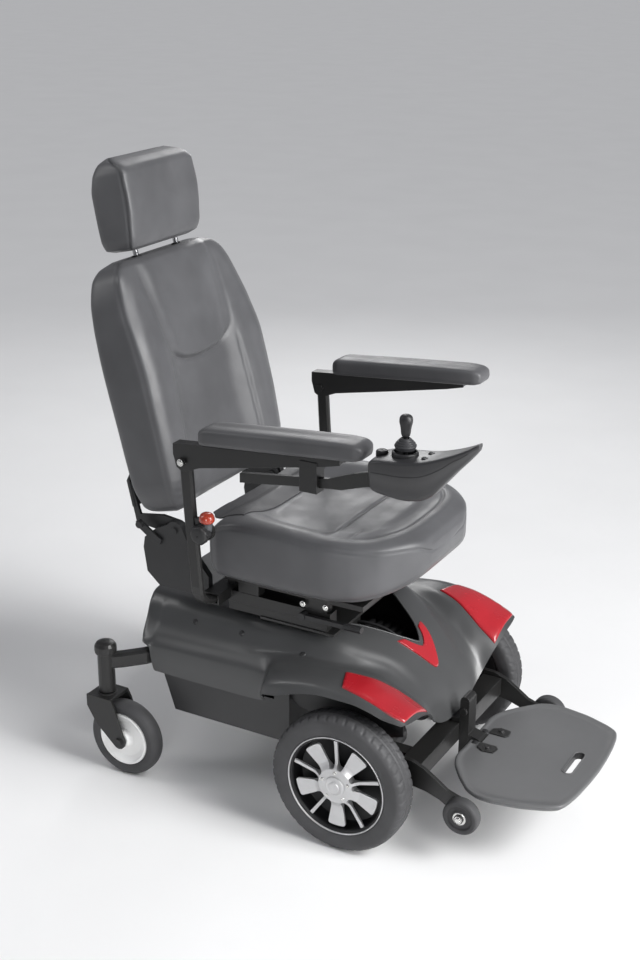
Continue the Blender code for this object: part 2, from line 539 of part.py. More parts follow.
# ============================================================== rear casters
def build_caster(s):
    # Arm: rectangular tube from the rear cross member out to the swivel barrel.
    path = [(-0.510, s * (0.1800 + GAP), 0.2745), (-0.510, s * 0.196, 0.2745), (-0.532, s * 0.232, 0.2740), (-0.570, s * 0.262, 0.2700), (-0.598, s * 0.279, 0.2670)]
    section = rounded(0.036, 0.026, 0.006, 1)
    arm = sweep(path, section, (0, 0, 1))
    barrel = lathe([(0, 0.1925), (0.0175, 0.1925), (0.0190, 0.1950), (0.0190, 0.2860), (0.0240, 0.2880), (0.0250, 0.2930), (0.0245, 0.3050), (0.0200, 0.3120), (0.0110, 0.3155), (0, 0.3165)], frame_at((SWIVEL_X, s * CASTER_Y, 0)), 20)
    arm = fuse(arm, barrel)
    arm = cut(arm, rod((SWIVEL_X, s * CASTER_Y, 0.185), (SWIVEL_X, s * CASTER_Y, 0.2890), 0.0112, 16))
    finish(arm, f"caster_arm_{side_name(s)}", BLACK_STEEL, smooth=35)

    swivel = pivot(f"pivot_caster_{side_name(s)}", (SWIVEL_X, s * CASTER_Y, 0.190))
    cheek = [(-0.636, 0.1895), (-0.572, 0.1895), (-0.563, 0.1720), (-0.5420, 0.1080), (-0.5360, 0.0930)] + arc(CASTER_X, CASTER_R, 0.0165, 0, -120, 4) + [(-0.5700, 0.0830), (-0.6120, 0.1220), (-0.6360, 0.1620)]
    fork = prism("Y", cheek, s * (CASTER_Y - 0.0345), s * (CASTER_Y - 0.0290))
    other = prism("Y", cheek, s * (CASTER_Y + 0.0290), s * (CASTER_Y + 0.0345))
    crown = box((-0.6355, s * (CASTER_Y - 0.0340), 0.1815), (-0.5725, s * (CASTER_Y + 0.0340), 0.1890))
    collar = rod((SWIVEL_X, s * CASTER_Y, 0.1850), (SWIVEL_X, s * CASTER_Y, 0.1915), 0.0215, 16)
    stem = rod((SWIVEL_X, s * CASTER_Y, 0.1850), (SWIVEL_X, s * CASTER_Y, 0.2850), 0.0100, 12)
    axle = rod((CASTER_X, s * (CASTER_Y - 0.0385), CASTER_R), (CASTER_X, s * (CASTER_Y + 0.0385), CASTER_R), 0.0060, 12)
    heads = [rod((CASTER_X, s * (CASTER_Y + e * 0.0340), CASTER_R), (CASTER_X, s * (CASTER_Y + e * 0.0390), CASTER_R), 0.0105, 6) for e in (-1, 1)]
    fork = fuse(fork, crown, other, collar, stem, axle, *heads)
    finish(fork, f"caster_fork_{side_name(s)}", BLACK_STEEL, swivel)

    roll = pivot(f"pivot_caster_roll_{side_name(s)}", (CASTER_X, s * CASTER_Y, CASTER_R), swivel)
    out = frame_at((CASTER_X, s * CASTER_Y, CASTER_R), (0, s, 0))
    tyre = [(0.0625, -0.0170), (0.0700, -0.0200), (0.0800, -0.0200), (0.0865, -0.0135), (CASTER_R, 0.0), (0.0865, 0.0135), (0.0800, 0.0200), (0.0700, 0.0200), (0.0625, 0.0170)]
    finish(lathe(tyre, out, 28, closed=True), f"caster_tyre_{side_name(s)}", TYRE, roll, smooth=35)
    rim = [(CASTER_RIM_R, -0.0180), (CASTER_RIM_R, 0.0180), (0.0560, 0.0190), (0.0440, 0.0080), (0.0200, 0.0120), (0.0160, 0.0230), (0.0066, 0.0230), (0.0066, -0.0230), (0.0160, -0.0230), (0.0200, -0.0120), (0.0440, -0.0080), (0.0560, -0.0190)]
    finish(lathe(rim, out, 28, closed=True), f"caster_rim_{side_name(s)}", WHITE, roll, smooth=35)


# =========================================================== front anti-tips
def build_antitip(s):
    top = [(0.0960, 0.2000), (0.1250, 0.1980), (0.1520, 0.1880), (0.1800, 0.1700), (0.2060, 0.1520), (0.2240, 0.1460), (0.2400, 0.1420)]
    tip = arc(TIP_X, TIP_Z, 0.0190, 60, -90, 5)
    low = [(0.2300, 0.1000), (0.2120, 0.1130), (0.1900, 0.1260), (0.1600, 0.1360), (0.1250, 0.1410), (0.0960, 0.1410)]
    outline = top + tip + low
    arm = prism("Y", outline, s * (0.2135 + GAP), s * 0.2230)
    arm = fuse(arm, rod((TIP_X, s * 0.2200, TIP_Z), (TIP_X, s * 0.2560, TIP_Z), 0.0060, 12), rod((TIP_X, s * 0.2556, TIP_Z), (TIP_X, s * 0.2600, TIP_Z), 0.0100, 12))
    finish(arm, f"antitip_arm_{side_name(s)}", BLACK_STEEL)
    roll = pivot(f"pivot_antitip_{side_name(s)}", (TIP_X, s * TIP_Y, TIP_Z))
    out = frame_at((TIP_X, s * TIP_Y, TIP_Z), (0, s, 0))
    wheel = [(0.0066, -0.0125), (0.0150, -0.0130), (0.0180, -0.0090), (0.0250, -0.0090), (0.0270, -0.0130), (0.0350, -0.0130), (TIP_R, -0.0080), (TIP_R, 0.0080), (0.0350, 0.0130), (0.0250, 0.0130), (0.0230, 0.0090), (0.0150, 0.0090), (0.0130, 0.0130), (0.0066, 0.0130)]
    finish(lathe(wheel, out, 20, closed=True), f"antitip_wheel_{side_name(s)}", TYRE, roll, smooth=35)


# ================================================================= footrest
def build_footrest():
    hx, hz = FOOT_HINGE
    front = 0.140 + GAP
    post = box((front, -0.0190, 0.1080), (0.1620, 0.0190, 0.2450))
    cap = prism("Y", arc(0.1512, 0.2440, 0.0105, 0, 180, 6), -0.0185, 0.0185)
    ears = prism("Y", [(0.1550, 0.1250), (0.1550, 0.1680), (0.1700, 0.1640)] + arc(hx, hz, 0.0110, 70, -90, 5) + [(0.1700, 0.1330)], -0.0175, 0.0175)
    clampbolt = rod((0.1500, -0.0240, 0.2200), (0.1500, 0.0240, 0.2200), 0.0085, 8)
    hook = box((0.1200, -0.0180, 0.1885), (0.1500, 0.0180, 0.2000))
    hanger = fuse(post, cap, ears, clampbolt, hook)
    pin = rod((hx, -0.0360, hz), (hx, 0.0360, hz), 0.0046, 12)
    hanger = cut(hanger, rod((hx, -0.0300, hz), (hx, 0.0300, hz), 0.0056, 12))
    finish(hanger, "footrest_hanger", BLACK_STEEL)

    heads = [rod((hx, e * 0.0322, hz), (hx, e * 0.0390, hz), 0.0085, 6) for e in (-1, 1)]
    hinge = pivot("pivot_footplate", (hx, 0, hz))
    half = [(0.1680, 0.0), (0.1680, 0.0500), (0.1660, 0.0900), (0.1760, 0.1220), (0.2060, 0.1650), (0.2400, 0.2030), (0.2620, 0.2140), (0.2900, 0.2160), (0.3550, 0.2050), (0.4050, 0.1820), (0.4260, 0.1660), (0.4370, 0.1480), (0.4450, 0.1100), (0.4500, 0.0550), (0.4520, 0.0)]
    outline = half + [(x, -y) for x, y in reversed(half[1:-1])]
    cx, cy = 0.300, 0.0

    def inset(p, d):
        v = Vector((p[0] - cx, p[1] - cy))
        return (cx + v.x * (1 - d / v.length), cy + v.y * (1 - d / v.length))

    top = FOOT_TOP
    rings = [[(x, y, top - 0.017) for x, y in outline], [(x, y, top - 0.006) for x, y in outline], [(*inset(p, 0.006), top) for p in outline]]
    plate = triangles(loft([[Vector(q) for q in ring] for ring in rings]))
    hollow = loft([[Vector((*inset(p, 0.0055), z)) for p in outline] for z in (top - 0.040, top - 0.0065)])
    plate = cut(plate, hollow, box((0.3860, -0.0450, 0.100), (0.4060, 0.0450, 0.200)))
    plate = cut(plate, box((0.150, -0.0205, 0.100), (0.1945, 0.0205, 0.1700)))
    lugs = []
    for e in (-1, 1):
        lug = prism("Y", arc(hx, hz, 0.0110, 0, 330, 11), e * 0.0212, e * 0.0330)
        lugs.append(lug)
    plate = fuse(plate, *lugs, pin, *heads)
    finish(plate, "footplate", BLACK_PLASTIC, hinge, smooth=35)


build_frame()
build_tray()
for s in (-1, 1):
    build_motor(s)
    build_drive_wheel(s)
    build_caster(s)
    build_antitip(s)
build_footrest()


# ====================================================================== seat
def build_seat():
    post = box((-0.1820, -0.0220, 0.2300), (-0.1380, 0.0220, 0.4150))
    plate = box((-0.2600, -0.1850, 0.4125), (-0.0800, 0.1850, 0.4180))
    rails = [box((-0.3400, s * 0.1580, 0.4170), (-0.1000, s * 0.1820, 0.4365)) for s in (-1, 1)]
    finish(fuse(post, plate, *rails), "seat_post", BLACK_STEEL)

    slide = pivot("pivot_seat", (-0.220, 0, 0.437))
    pan = box((-0.3450, -0.1900, 0.4890), (-0.0100, 0.1900, SEAT_Z))
    bits = []
    for s in (-1, 1):
        bits.append(box((-0.3380, s * 0.1560, 0.4370), (-0.0900, s * 0.1840, 0.4620)))
        bits.append(box((-0.3150, s * 0.1570, 0.4600), (-0.2650, s * 0.1830, 0.4900)))
        bits.append(box((-0.1500, s * 0.1570, 0.4600), (-0.1000, s * 0.1830, 0.4900)))
    tube = box((-0.3700, -0.2350, 0.4465), (-0.3320, 0.2350, 0.4715))
    frame = fuse(pan, *bits, tube, box((-0.3500, -0.1700, 0.4700), (-0.3330, 0.1700, 0.4900)))
    hollow = [box((-0.3665, s * 0.1000, 0.4500), (-0.3355, s * 0.2400, 0.4680)) for s in (-1, 1)]
    frame = cut(frame, *hollow)
    finish(frame, "seat_frame", BLACK_STEEL, slide)

    # Seat cushion: plain closed form, one ring for each station along x.
    rings = []
    for x, w, lo, hi, dip in ((-0.3640, 0.205, 0.540, 0.605, 0.0), (-0.3560, 0.228, 0.515, 0.628, 0.008), (-0.3300, 0.239, 0.5025, 0.644, 0.018), (-0.2000, 0.2405, 0.5018, 0.650, 0.030), (-0.0900, 0.2400, 0.5020, 0.650, 0.026), (-0.0300, 0.2300, 0.5060, 0.648, 0.020), (0.0200, 0.2060, 0.520, 0.644, 0.014), (0.0550, 0.1820, 0.537, 0.639, 0.008), (0.0780, 0.1500, 0.556, 0.630, 0.003), (0.0890, 0.1180, 0.572, 0.616, 0.0)):
        ring = []
        for k in range(24):
            a = 2 * math.pi * (k + 0.5) / 24
            c, q = math.cos(a), math.sin(a)
            y = w * math.copysign(abs(c) ** 0.42, c)
            z = (lo + hi) / 2 + (hi - lo) / 2 * math.copysign(abs(q) ** 0.42, q)
            if q > 0 and abs(y) < 0.8 * w:
                z -= dip * (1 - (y / (0.8 * w)) ** 2)
            ring.append(Vector((x, y, z)))
        rings.append(ring)
    finish(loft(rings), "seat_cushion", VINYL, slide, smooth=60)

    # Slide release: a bar under the front of the seat, on the right.
    hinge = pivot("pivot_seat_lever", (-0.150, -0.1950, 0.4500), slide)
    lever = box((-0.1560, -0.2000, 0.4450), (-0.0300, -0.1900, 0.4550))
    lever = fuse(lever, rod((-0.1500, -0.2020, 0.4500), (-0.1500, -0.1845, 0.4500), 0.0085, 12), rod((-0.0500, -0.1950, 0.4500), (-0.0100, -0.1950, 0.4500), 0.0080, 10))
    finish(lever, "seat_slide_lever", BLACK_PLASTIC, hinge)

    # Hinge brackets that stand on the seat frame's tube.
    rx, rz = RECLINE
    for s in (-1, 1):
        outline = [(-0.3700 - GAP, 0.4470), (-0.3700 - GAP, 0.4950), (-0.4150, 0.5500)] + arc(rx, rz, 0.0210, 10, 150, 6) + [(-0.5050, 0.5800), (-0.5340, 0.5550), (-0.5380, 0.5300), (-0.5300, 0.4750), (-0.4980, 0.4470)]
        bracket = prism("Y", outline, s * 0.1985, s * 0.2140)
        bracket = fuse(bracket, rod((rx, s * 0.1860, rz), (rx, s * 0.2180, rz), 0.0070, 14))
        finish(bracket, f"recline_bracket_{side_name(s)}", BLACK_PLASTIC, slide)
    hinge = pivot("pivot_recline_lever", (-0.4960, -0.2180, 0.5560), slide)
    lever = prism("Y", [(-0.4900, 0.5480), (-0.4860, 0.5600), (-0.4980, 0.5660), (-0.5420, 0.5950), (-0.5520, 0.5900), (-0.5500, 0.5800), (-0.5060, 0.5490)], -0.2200, -0.2140 - GAP)
    lever = fuse(lever, rod((-0.5380, -0.2180, 0.5870), (-0.5380, -0.2300, 0.5870), 0.0080, 10))
    finish(lever, "recline_lever", BLACK_PLASTIC, hinge)
    return slide


def build_back(slide):
    rx, rz = RECLINE
    hinge = pivot("pivot_backrest", (rx, 0, rz), slide)
    outline = [(0.198, 0.0300), (-0.198, 0.0300), (-0.198, 0.0900), (-0.170, 0.1100), (-0.170, 0.2800), (-0.155, 0.3000), (0.155, 0.3000), (0.170, 0.2800), (0.170, 0.1100), (0.198, 0.0900)]
    panel = loft([[on_back(s, n, y) for y, s in outline] for n in (-0.0350, -0.0275)])
    lugs = []
    ps = (Vector((rx, 0, rz)) - on_back(0, 0, 0)).dot(BACK_D)
    pn = (Vector((rx, 0, rz)) - on_back(0, 0, 0)).dot(BACK_N)
    for s in (-1, 1):
        shape = [(-0.0345, 0.0850), (-0.0250, 0.0850), (-0.0200, 0.0120), (0.0400, 0.0080)] + [(pn + 0.0170 * math.cos(math.radians(a)), ps + 0.0170 * math.sin(math.radians(a))) for a in (70, 35, 0, -40, -80, -115)] + [(0.0200, -0.0250), (-0.0345, -0.0060)]
        lug = loft([[on_back(q, n, s * y) for n, q in shape] for y in (0.1890, 0.1965)])
        lugs.append(lug)
    frame = fuse(panel, *lugs)
    frame = cut(frame, *[rod((rx, s * 0.180, rz), (rx, s * 0.205, rz), 0.0078, 14) for s in (-1, 1)])
    finish(frame, "back_frame", BLACK_PLASTIC, hinge, smooth=35)

    rings = []
    for q, w, r, f in ((0.0220, 0.178, 0.006, 0.048), (0.0300, 0.205, -0.004, 0.070), (0.0480, 0.224, -0.012, 0.094), (0.0950, 0.2315, -0.0170, 0.1110), (0.2000, 0.2340, -0.0210, 0.1135), (0.3100, 0.2330, -0.0260, 0.1120), (0.3900, 0.2270, -0.0300, 0.1000), (0.4600, 0.2160, -0.0310, 0.0850), (0.5150, 0.1980, -0.0260, 0.0720), (0.5400, 0.1780, -0.0140, 0.0600), (0.5500, 0.1500, 0.0040, 0.0480)):
        ring = []
        for k in range(20):
            a = 2 * math.pi * (k + 0.5) / 20
            c, t = math.cos(a), math.sin(a)
            y = w * math.copysign(abs(c) ** 0.45, c)
            n = (r + f) / 2 + (f - r) / 2 * math.copysign(abs(t) ** 0.45, t)
            ring.append(on_back(q, n, y))
        rings.append(ring)
    cushion = loft(rings)
    cushion = cut(cushion, *[rod(on_back(0.440, 0.030, s * 0.075), on_back(0.580, 0.030, s * 0.075), 0.0073, 12) for s in (-1, 1)])
    finish(cushion, "back_cushion", VINYL, hinge, smooth=60)

    up = pivot("pivot_headrest", on_back(0.550, 0.030, 0.0), hinge)
    rings = []
    for q, w, r, f in ((0.5680, 0.104, -0.014, 0.048), (0.5760, 0.122, -0.026, 0.064), (0.6200, 0.1300, -0.0300, 0.0790), (0.6900, 0.1310, -0.0280, 0.0870), (0.7300, 0.1270, -0.0170, 0.0860), (0.7520, 0.1160, -0.0060, 0.0780), (0.7620, 0.0980, 0.0080, 0.0640)):
        ring = []
        for k in range(20):
            a = 2 * math.pi * (k + 0.5) / 20
            c, t = math.cos(a), math.sin(a)
            y = w * math.copysign(abs(c) ** 0.4, c)
            n = (r + f) / 2 + (f - r) / 2 * math.copysign(abs(t) ** 0.4, t)
            ring.append(on_back(q, n, y))
        rings.append(ring)
    head = loft(rings)
    head = cut(head, *[rod(on_back(0.550, 0.030, s * 0.075), on_back(0.6900, 0.030, s * 0.075), 0.0066, 12) for s in (-1, 1)])
    finish(head, "headrest_cushion", VINYL, up, smooth=60)
    for s in (-1, 1):
        post = rod(on_back(0.4450, 0.030, s * 0.075), on_back(0.6860, 0.030, s * 0.075), 0.0061, 12)
        finish(post, f"headrest_post_{side_name(s)}", ZINC, up, smooth=35)


def build_armrest(s, slide):
    name = side_name(s)
    width = pivot(f"pivot_arm_width_{name}", (-0.351, s * 0.235, 0.459), slide)
    bend = [(-0.351, s * y, z) for y, z in [(0.1500, 0.4590), (0.2350, 0.4590)] + arc(0.2350, 0.5090, 0.0500, -72, -18, 3) + [(0.2850, 0.5090)]]
    path = bend + [(-0.3560, s * ARM_Y, 0.5750), (-0.3650, s * ARM_Y, 0.6900), (-0.3707, s * ARM_Y, 0.7850)]
    post = sweep(path, rounded(0.028, 0.015, 0.004, 1), (1, 0, 0))
    eye = rod((ARM_PIVOT[0], s * 0.2777, ARM_PIVOT[2]), (ARM_PIVOT[0], s * 0.2923, ARM_PIVOT[2]), 0.0150, 16)
    tab = prism("Y", [(-0.3580, 0.6180), (-0.3330, 0.6180)] + arc(-0.3270, 0.6390, 0.0210, -60, 80, 5) + [(-0.3400, 0.6640), (-0.3620, 0.6640)], s * 0.2800, s * 0.2900)
    post = fuse(post, eye, tab)
    post = cut(post, rod((ARM_PIVOT[0], s * 0.2700, ARM_PIVOT[2]), (ARM_PIVOT[0], s * 0.3000, ARM_PIVOT[2]), 0.0058, 12))
    finish(post, f"arm_post_{name}", BLACK_STEEL, width, smooth=35)

    turn = pivot(f"pivot_arm_knob_{name}", (-0.3270, s * 0.2900, 0.6390), width)
    lobes = []
    for k in range(30):
        a = 2 * math.pi * k / 30
        r = 0.0205 + 0.0022 * math.cos(5 * a)
        lobes.append((-0.3270 + r * math.cos(a), 0.6390 + r * math.sin(a)))
    knob = prism("Y", lobes, s * 0.2975, s * 0.3120)
    knob = fuse(knob, rod((-0.3270, s * (0.2900 + GAP), 0.6390), (-0.3270, s * 0.2980, 0.6390), 0.0110, 12))
    finish(knob, f"arm_knob_{name}", BLACK_PLASTIC, turn, smooth=35)

    # Channel: an upside-down U that straddles the top of the post.
    flip = pivot(f"pivot_armrest_{name}", (ARM_PIVOT[0], s * ARM_Y, ARM_PIVOT[2]), width)
    outline = [(-0.3940, 0.8000), (-0.3940, 0.8215), (-0.0100, 0.8540), (-0.0100, 0.8440), (-0.0500, 0.8340), (-0.1900, 0.8060), (-0.3300, 0.7790), (-0.3520, 0.7700), (-0.3720, 0.7640), (-0.3860, 0.7720)]
    channel = prism("Y", outline, s * (ARM_Y - 0.0130), s * (ARM_Y + 0.0130))
    gap = [(-0.4200, 0.7500), (-0.4200, 0.8155), (-0.0300, 0.8485), (0.0300, 0.8400), (0.0300, 0.7500)]
    channel = cut(channel, prism("Y", gap, s * (ARM_Y - 0.0090), s * (ARM_Y + 0.0090)))
    bolt = rod((ARM_PIVOT[0], s * (ARM_Y - 0.0165), ARM_PIVOT[2]), (ARM_PIVOT[0], s * (ARM_Y + 0.0165), ARM_PIVOT[2]), 0.0052, 12)
    bolt_heads = [rod((ARM_PIVOT[0], s * (ARM_Y + e * 0.0125), ARM_PIVOT[2]), (ARM_PIVOT[0], s * (ARM_Y + e * 0.0170), ARM_PIVOT[2]), 0.0090, 6) for e in (-1, 1)]
    channel = fuse(channel, bolt, *bolt_heads)
    if s < 0:
        clamp = box((-0.0975, -ARM_Y - 0.0150, 0.7765), (-0.0590, -ARM_Y + 0.0150, 0.8400))
        channel = fuse(channel, clamp)
        slot = prism("Y", [(-0.1200, 0.7783), (-0.0400, 0.7883), (-0.0400, 0.8097), (-0.1200, 0.7997)], -ARM_Y - 0.0056, -ARM_Y + 0.0056)
        channel = cut(channel, slot)
    finish(channel, f"arm_channel_{name}", BLACK_STEEL, flip)

    # Pad: rounded bar, higher at the front.
    rise = math.tan(math.radians(4.8))
    rings = []
    for x, w, lo, hi in ((-0.3300, 0.022, 0.006, 0.026), (-0.3250, 0.031, 0.001, 0.034), (-0.3080, 0.035, 0.0, 0.0385), (-0.1500, 0.0365, 0.0, 0.0390), (-0.0150, 0.0365, 0.0, 0.0380), (0.0200, 0.034, 0.000, 0.0350), (0.0360, 0.0285, 0.003, 0.0290), (0.0410, 0.0200, 0.008, 0.0220)):
        base = 0.8282 + (x + 0.337) * rise
        ring = []
        for k in range(16):
            a = 2 * math.pi * (k + 0.5) / 16
            c, t = math.cos(a), math.sin(a)
            y = s * 0.278 + w * math.copysign(abs(c) ** 0.5, c)
            z = base + (lo + hi) / 2 + (hi - lo) / 2 * math.copysign(abs(t) ** 0.5, t)
            ring.append(Vector((x, y, z)))
        rings.append(ring)
    finish(loft(rings), f"arm_pad_{name}", VINYL, flip, smooth=60)
    return flip


def build_joystick(flip):
    # Flat bar that slides fore and aft in the clamp under the right armrest.
    slide = pivot("pivot_joystick_slide", (-0.078, -ARM_Y, 0.794), flip)
    outline = [(-0.2400, 0.7632), (-0.1200, 0.7790), (-0.0400, 0.7890), (-0.0100, 0.7915), (0.0350, 0.8060), (0.0607, 0.8130), (0.0607, 0.8430), (0.0150, 0.8300), (-0.0400, 0.8090), (-0.1200, 0.7990), (-0.2400, 0.7832)]
    bar = prism("Y", outline, -ARM_Y - 0.0050, -ARM_Y + 0.0050)
    finish(bar, "joystick_bar", BLACK_STEEL, slide)

    def section(x, w, top, bottom, keel):
        y0 = -ARM_Y
        return [Vector((x, y0 + q, z)) for q, z in ((-w, top), (-w * 0.98, (top * 2 + bottom) / 3), (-w * keel, bottom + 0.003), (-w * keel * 0.5, bottom), (w * keel * 0.5, bottom), (w * keel, bottom + 0.003), (w * 0.98, (top * 2 + bottom) / 3), (w, top), (w * 0.55, top + 0.0015), (-w * 0.55, top + 0.0015))]

    rings = [section(x, w, t, b, k) for x, w, t, b, k in (
        (0.0610, 0.0370, 0.8720, 0.8200, 0.80), (0.0680, 0.0410, 0.8760, 0.8120, 0.78), (0.0900, 0.0440, 0.8810, 0.8060, 0.66),
        (0.1300, 0.0450, 0.8850, 0.8020, 0.60), (0.1600, 0.0430, 0.8890, 0.8060, 0.56), (0.1850, 0.0390, 0.8950, 0.8200, 0.55),
        (0.2050, 0.0340, 0.9020, 0.8430, 0.60), (0.2300, 0.0270, 0.9120, 0.8730, 0.65), (0.2550, 0.0180, 0.9240, 0.9010, 0.70), (0.2720, 0.0090, 0.9340, 0.9220, 0.80))]
    pod = loft(rings)
    x, y, z = STICK
    ring = lathe([(0.0225, 0.8780), (0.0245, 0.8780), (0.0245, 0.8930), (0.0225, 0.8945), (0.0205, 0.8935), (0.0205, 0.8780)], frame_at((x, y, 0)), 20, closed=True)
    pod = fuse(pod, ring)
    pod = cut(pod, rod((x, y, 0.8680), (x, y, 0.9000), 0.0195, 18))
    # Pockets for the two buttons and the speed dial.
    for bx, by, r in ((0.1680, 0.0150, 0.0066), (0.1680, -0.0150, 0.0066), (0.0730, 0.0, 0.0125)):
        pod = cut(pod, rod((bx, y + by, 0.8770 if bx > 0.1 else 0.8690), (bx, y + by, 0.9200), r, 14))
    finish(pod, "joystick_pod", BLACK_PLASTIC, slide, smooth=35)

    tilt_y = pivot("pivot_joystick_pitch", STICK, slide)
    boot = lathe([(0.0190, -0.0070), (0.0215, -0.0010), (0.0190, 0.0050), (0.0130, 0.0110), (0.0095, 0.0150), (0.0072, 0.0150), (0.0072, -0.0070)], frame_at(STICK), 18, closed=True)
    finish(boot, "joystick_boot", BLACK_PLASTIC, tilt_y, smooth=50)
    tilt_x = pivot("pivot_joystick_roll", STICK, tilt_y)
    stick = lathe([(0, -0.0250), (0.0040, -0.0250), (0.0040, 0.0170), (0.0085, 0.0200), (0.0100, 0.0270), (0.0110, 0.0360), (0.0128, 0.0450), (0.0125, 0.0540), (0.0085, 0.0595), (0, 0.0610)], frame_at(STICK), 16)
    finish(stick, "joystick_stick", BLACK_PLASTIC, tilt_x, smooth=50)
    for label, by in (("power_button", 0.0150), ("horn_button", -0.0150)):
        press = pivot(f"pivot_{label}", (0.1680, y + by, 0.8900), slide)
        finish(lathe([(0, 0.8805), (0.0058, 0.8805), (0.0058, 0.8935), (0.0046, 0.8945), (0, 0.8948)], frame_at((0.1680, y + by, 0)), 12), label, BLACK_PLASTIC, press, smooth=35)
    dial = pivot("pivot_speed_dial", (0.0730, y, 0.8790), slide)
    finish(lathe([(0, 0.8720), (0.0112, 0.8720), (0.0112, 0.8850), (0.0095, 0.8880), (0, 0.8880)], frame_at((0.0730, y, 0)), 16), "speed_dial", BLACK_PLASTIC, dial, smooth=35)


SLIDE = build_seat()
build_back(SLIDE)
FLIPS = {s: build_armrest(s, SLIDE) for s in (-1, 1)}
build_joystick(FLIPS[-1])
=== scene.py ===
"""Power wheelchair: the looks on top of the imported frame."""
import math

import bmesh
import bpy
import numpy as np
from mathutils import Matrix, Vector, noise
from mathutils.bvhtree import BVHTree


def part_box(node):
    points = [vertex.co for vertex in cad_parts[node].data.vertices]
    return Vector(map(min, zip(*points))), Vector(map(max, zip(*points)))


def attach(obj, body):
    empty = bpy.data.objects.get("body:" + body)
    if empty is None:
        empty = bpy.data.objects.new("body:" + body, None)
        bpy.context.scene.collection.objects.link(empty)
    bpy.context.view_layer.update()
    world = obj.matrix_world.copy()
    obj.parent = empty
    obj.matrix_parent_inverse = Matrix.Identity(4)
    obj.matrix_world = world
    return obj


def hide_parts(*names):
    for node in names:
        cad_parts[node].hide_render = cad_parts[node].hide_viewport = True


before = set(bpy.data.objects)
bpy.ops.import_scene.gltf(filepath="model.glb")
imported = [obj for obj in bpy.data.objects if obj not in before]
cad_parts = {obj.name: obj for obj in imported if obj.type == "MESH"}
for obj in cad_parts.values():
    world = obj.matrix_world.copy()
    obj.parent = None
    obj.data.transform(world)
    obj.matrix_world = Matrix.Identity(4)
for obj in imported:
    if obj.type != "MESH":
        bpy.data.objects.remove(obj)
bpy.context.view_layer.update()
NODES = {o.name: o for o in bpy.data.objects if o.type == "MESH"}

X0 = 0.1305                     # drive axle in the row frame
SIDES = {-1: "right", 1: "left"}


# ================================================================ materials
def nodes_of(name):
    mat = bpy.data.materials.new(name)
    mat.use_nodes = True
    nt = mat.node_tree
    bsdf = nt.nodes["Principled BSDF"]
    return mat, nt, bsdf


def mapping(nt, scale=(1, 1, 1)):
    tc = nt.nodes.new("ShaderNodeTexCoord")
    mp = nt.nodes.new("ShaderNodeMapping")
    mp.inputs["Scale"].default_value = scale
    nt.links.new(tc.outputs["Object"], mp.inputs["Vector"])
    return mp.outputs["Vector"]


def noise_tex(nt, vec, scale, detail=3.0, rough=0.5):
    n = nt.nodes.new("ShaderNodeTexNoise")
    n.inputs["Scale"].default_value = scale
    n.inputs["Detail"].default_value = detail
    n.inputs["Roughness"].default_value = rough
    nt.links.new(vec, n.inputs["Vector"])
    return n.outputs["Fac"]


def ramp(nt, fac, lo, hi, a=0.3, b=0.7):
    m = nt.nodes.new("ShaderNodeMapRange")
    m.inputs["From Min"].default_value = a
    m.inputs["From Max"].default_value = b
    m.inputs["To Min"].default_value = lo
    m.inputs["To Max"].default_value = hi
    nt.links.new(fac, m.inputs["Value"])
    return m.outputs["Result"]


def mix_rgb(nt, fac, a, b):
    m = nt.nodes.new("ShaderNodeMix")
    m.data_type = "RGBA"
    if isinstance(fac, float):
        m.inputs[0].default_value = fac
    else:
        nt.links.new(fac, m.inputs[0])
    for sock, val in ((m.inputs[6], a), (m.inputs[7], b)):
        if isinstance(val, tuple):
            sock.default_value = (*val, 1.0)
        else:
            nt.links.new(val, sock)
    return m.outputs[2]


def bump(nt, height, strength, distance, normal=None):
    b = nt.nodes.new("ShaderNodeBump")
    b.inputs["Strength"].default_value = strength
    b.inputs["Distance"].default_value = distance
    nt.links.new(height, b.inputs["Height"])
    if normal is not None:
        nt.links.new(normal, b.inputs["Normal"])
    return b.outputs["Normal"]


def soft_edges(nt, radius):
    b = nt.nodes.new("ShaderNodeBevel")
    b.samples = 4
    b.inputs["Radius"].default_value = radius
    return b.outputs["Normal"]


def edge_wear(nt, bsdf, base, worn, radius=0.0012, amount=0.5):
    """Lighter paint where an edge is rubbed: a bevelled normal against the true one."""
    geo = nt.nodes.new("ShaderNodeNewGeometry")
    bev = nt.nodes.new("ShaderNodeBevel")
    bev.samples = 4
    bev.inputs["Radius"].default_value = radius
    dot = nt.nodes.new("ShaderNodeVectorMath")
    dot.operation = "DOT_PRODUCT"
    nt.links.new(geo.outputs["Normal"], dot.inputs[0])
    nt.links.new(bev.outputs["Normal"], dot.inputs[1])
    vec = mapping(nt)
    n = noise_tex(nt, vec, 60.0, 4.0, 0.65)
    edge = ramp(nt, dot.outputs["Value"], amount, 0.0, 0.86, 0.985)
    mul = nt.nodes.new("ShaderNodeMath")
    mul.operation = "MULTIPLY"
    nt.links.new(edge, mul.inputs[0])
    nt.links.new(ramp(nt, n, 0.0, 1.0, 0.40, 0.62), mul.inputs[1])
    return mix_rgb(nt, mul.outputs[0], base, worn)


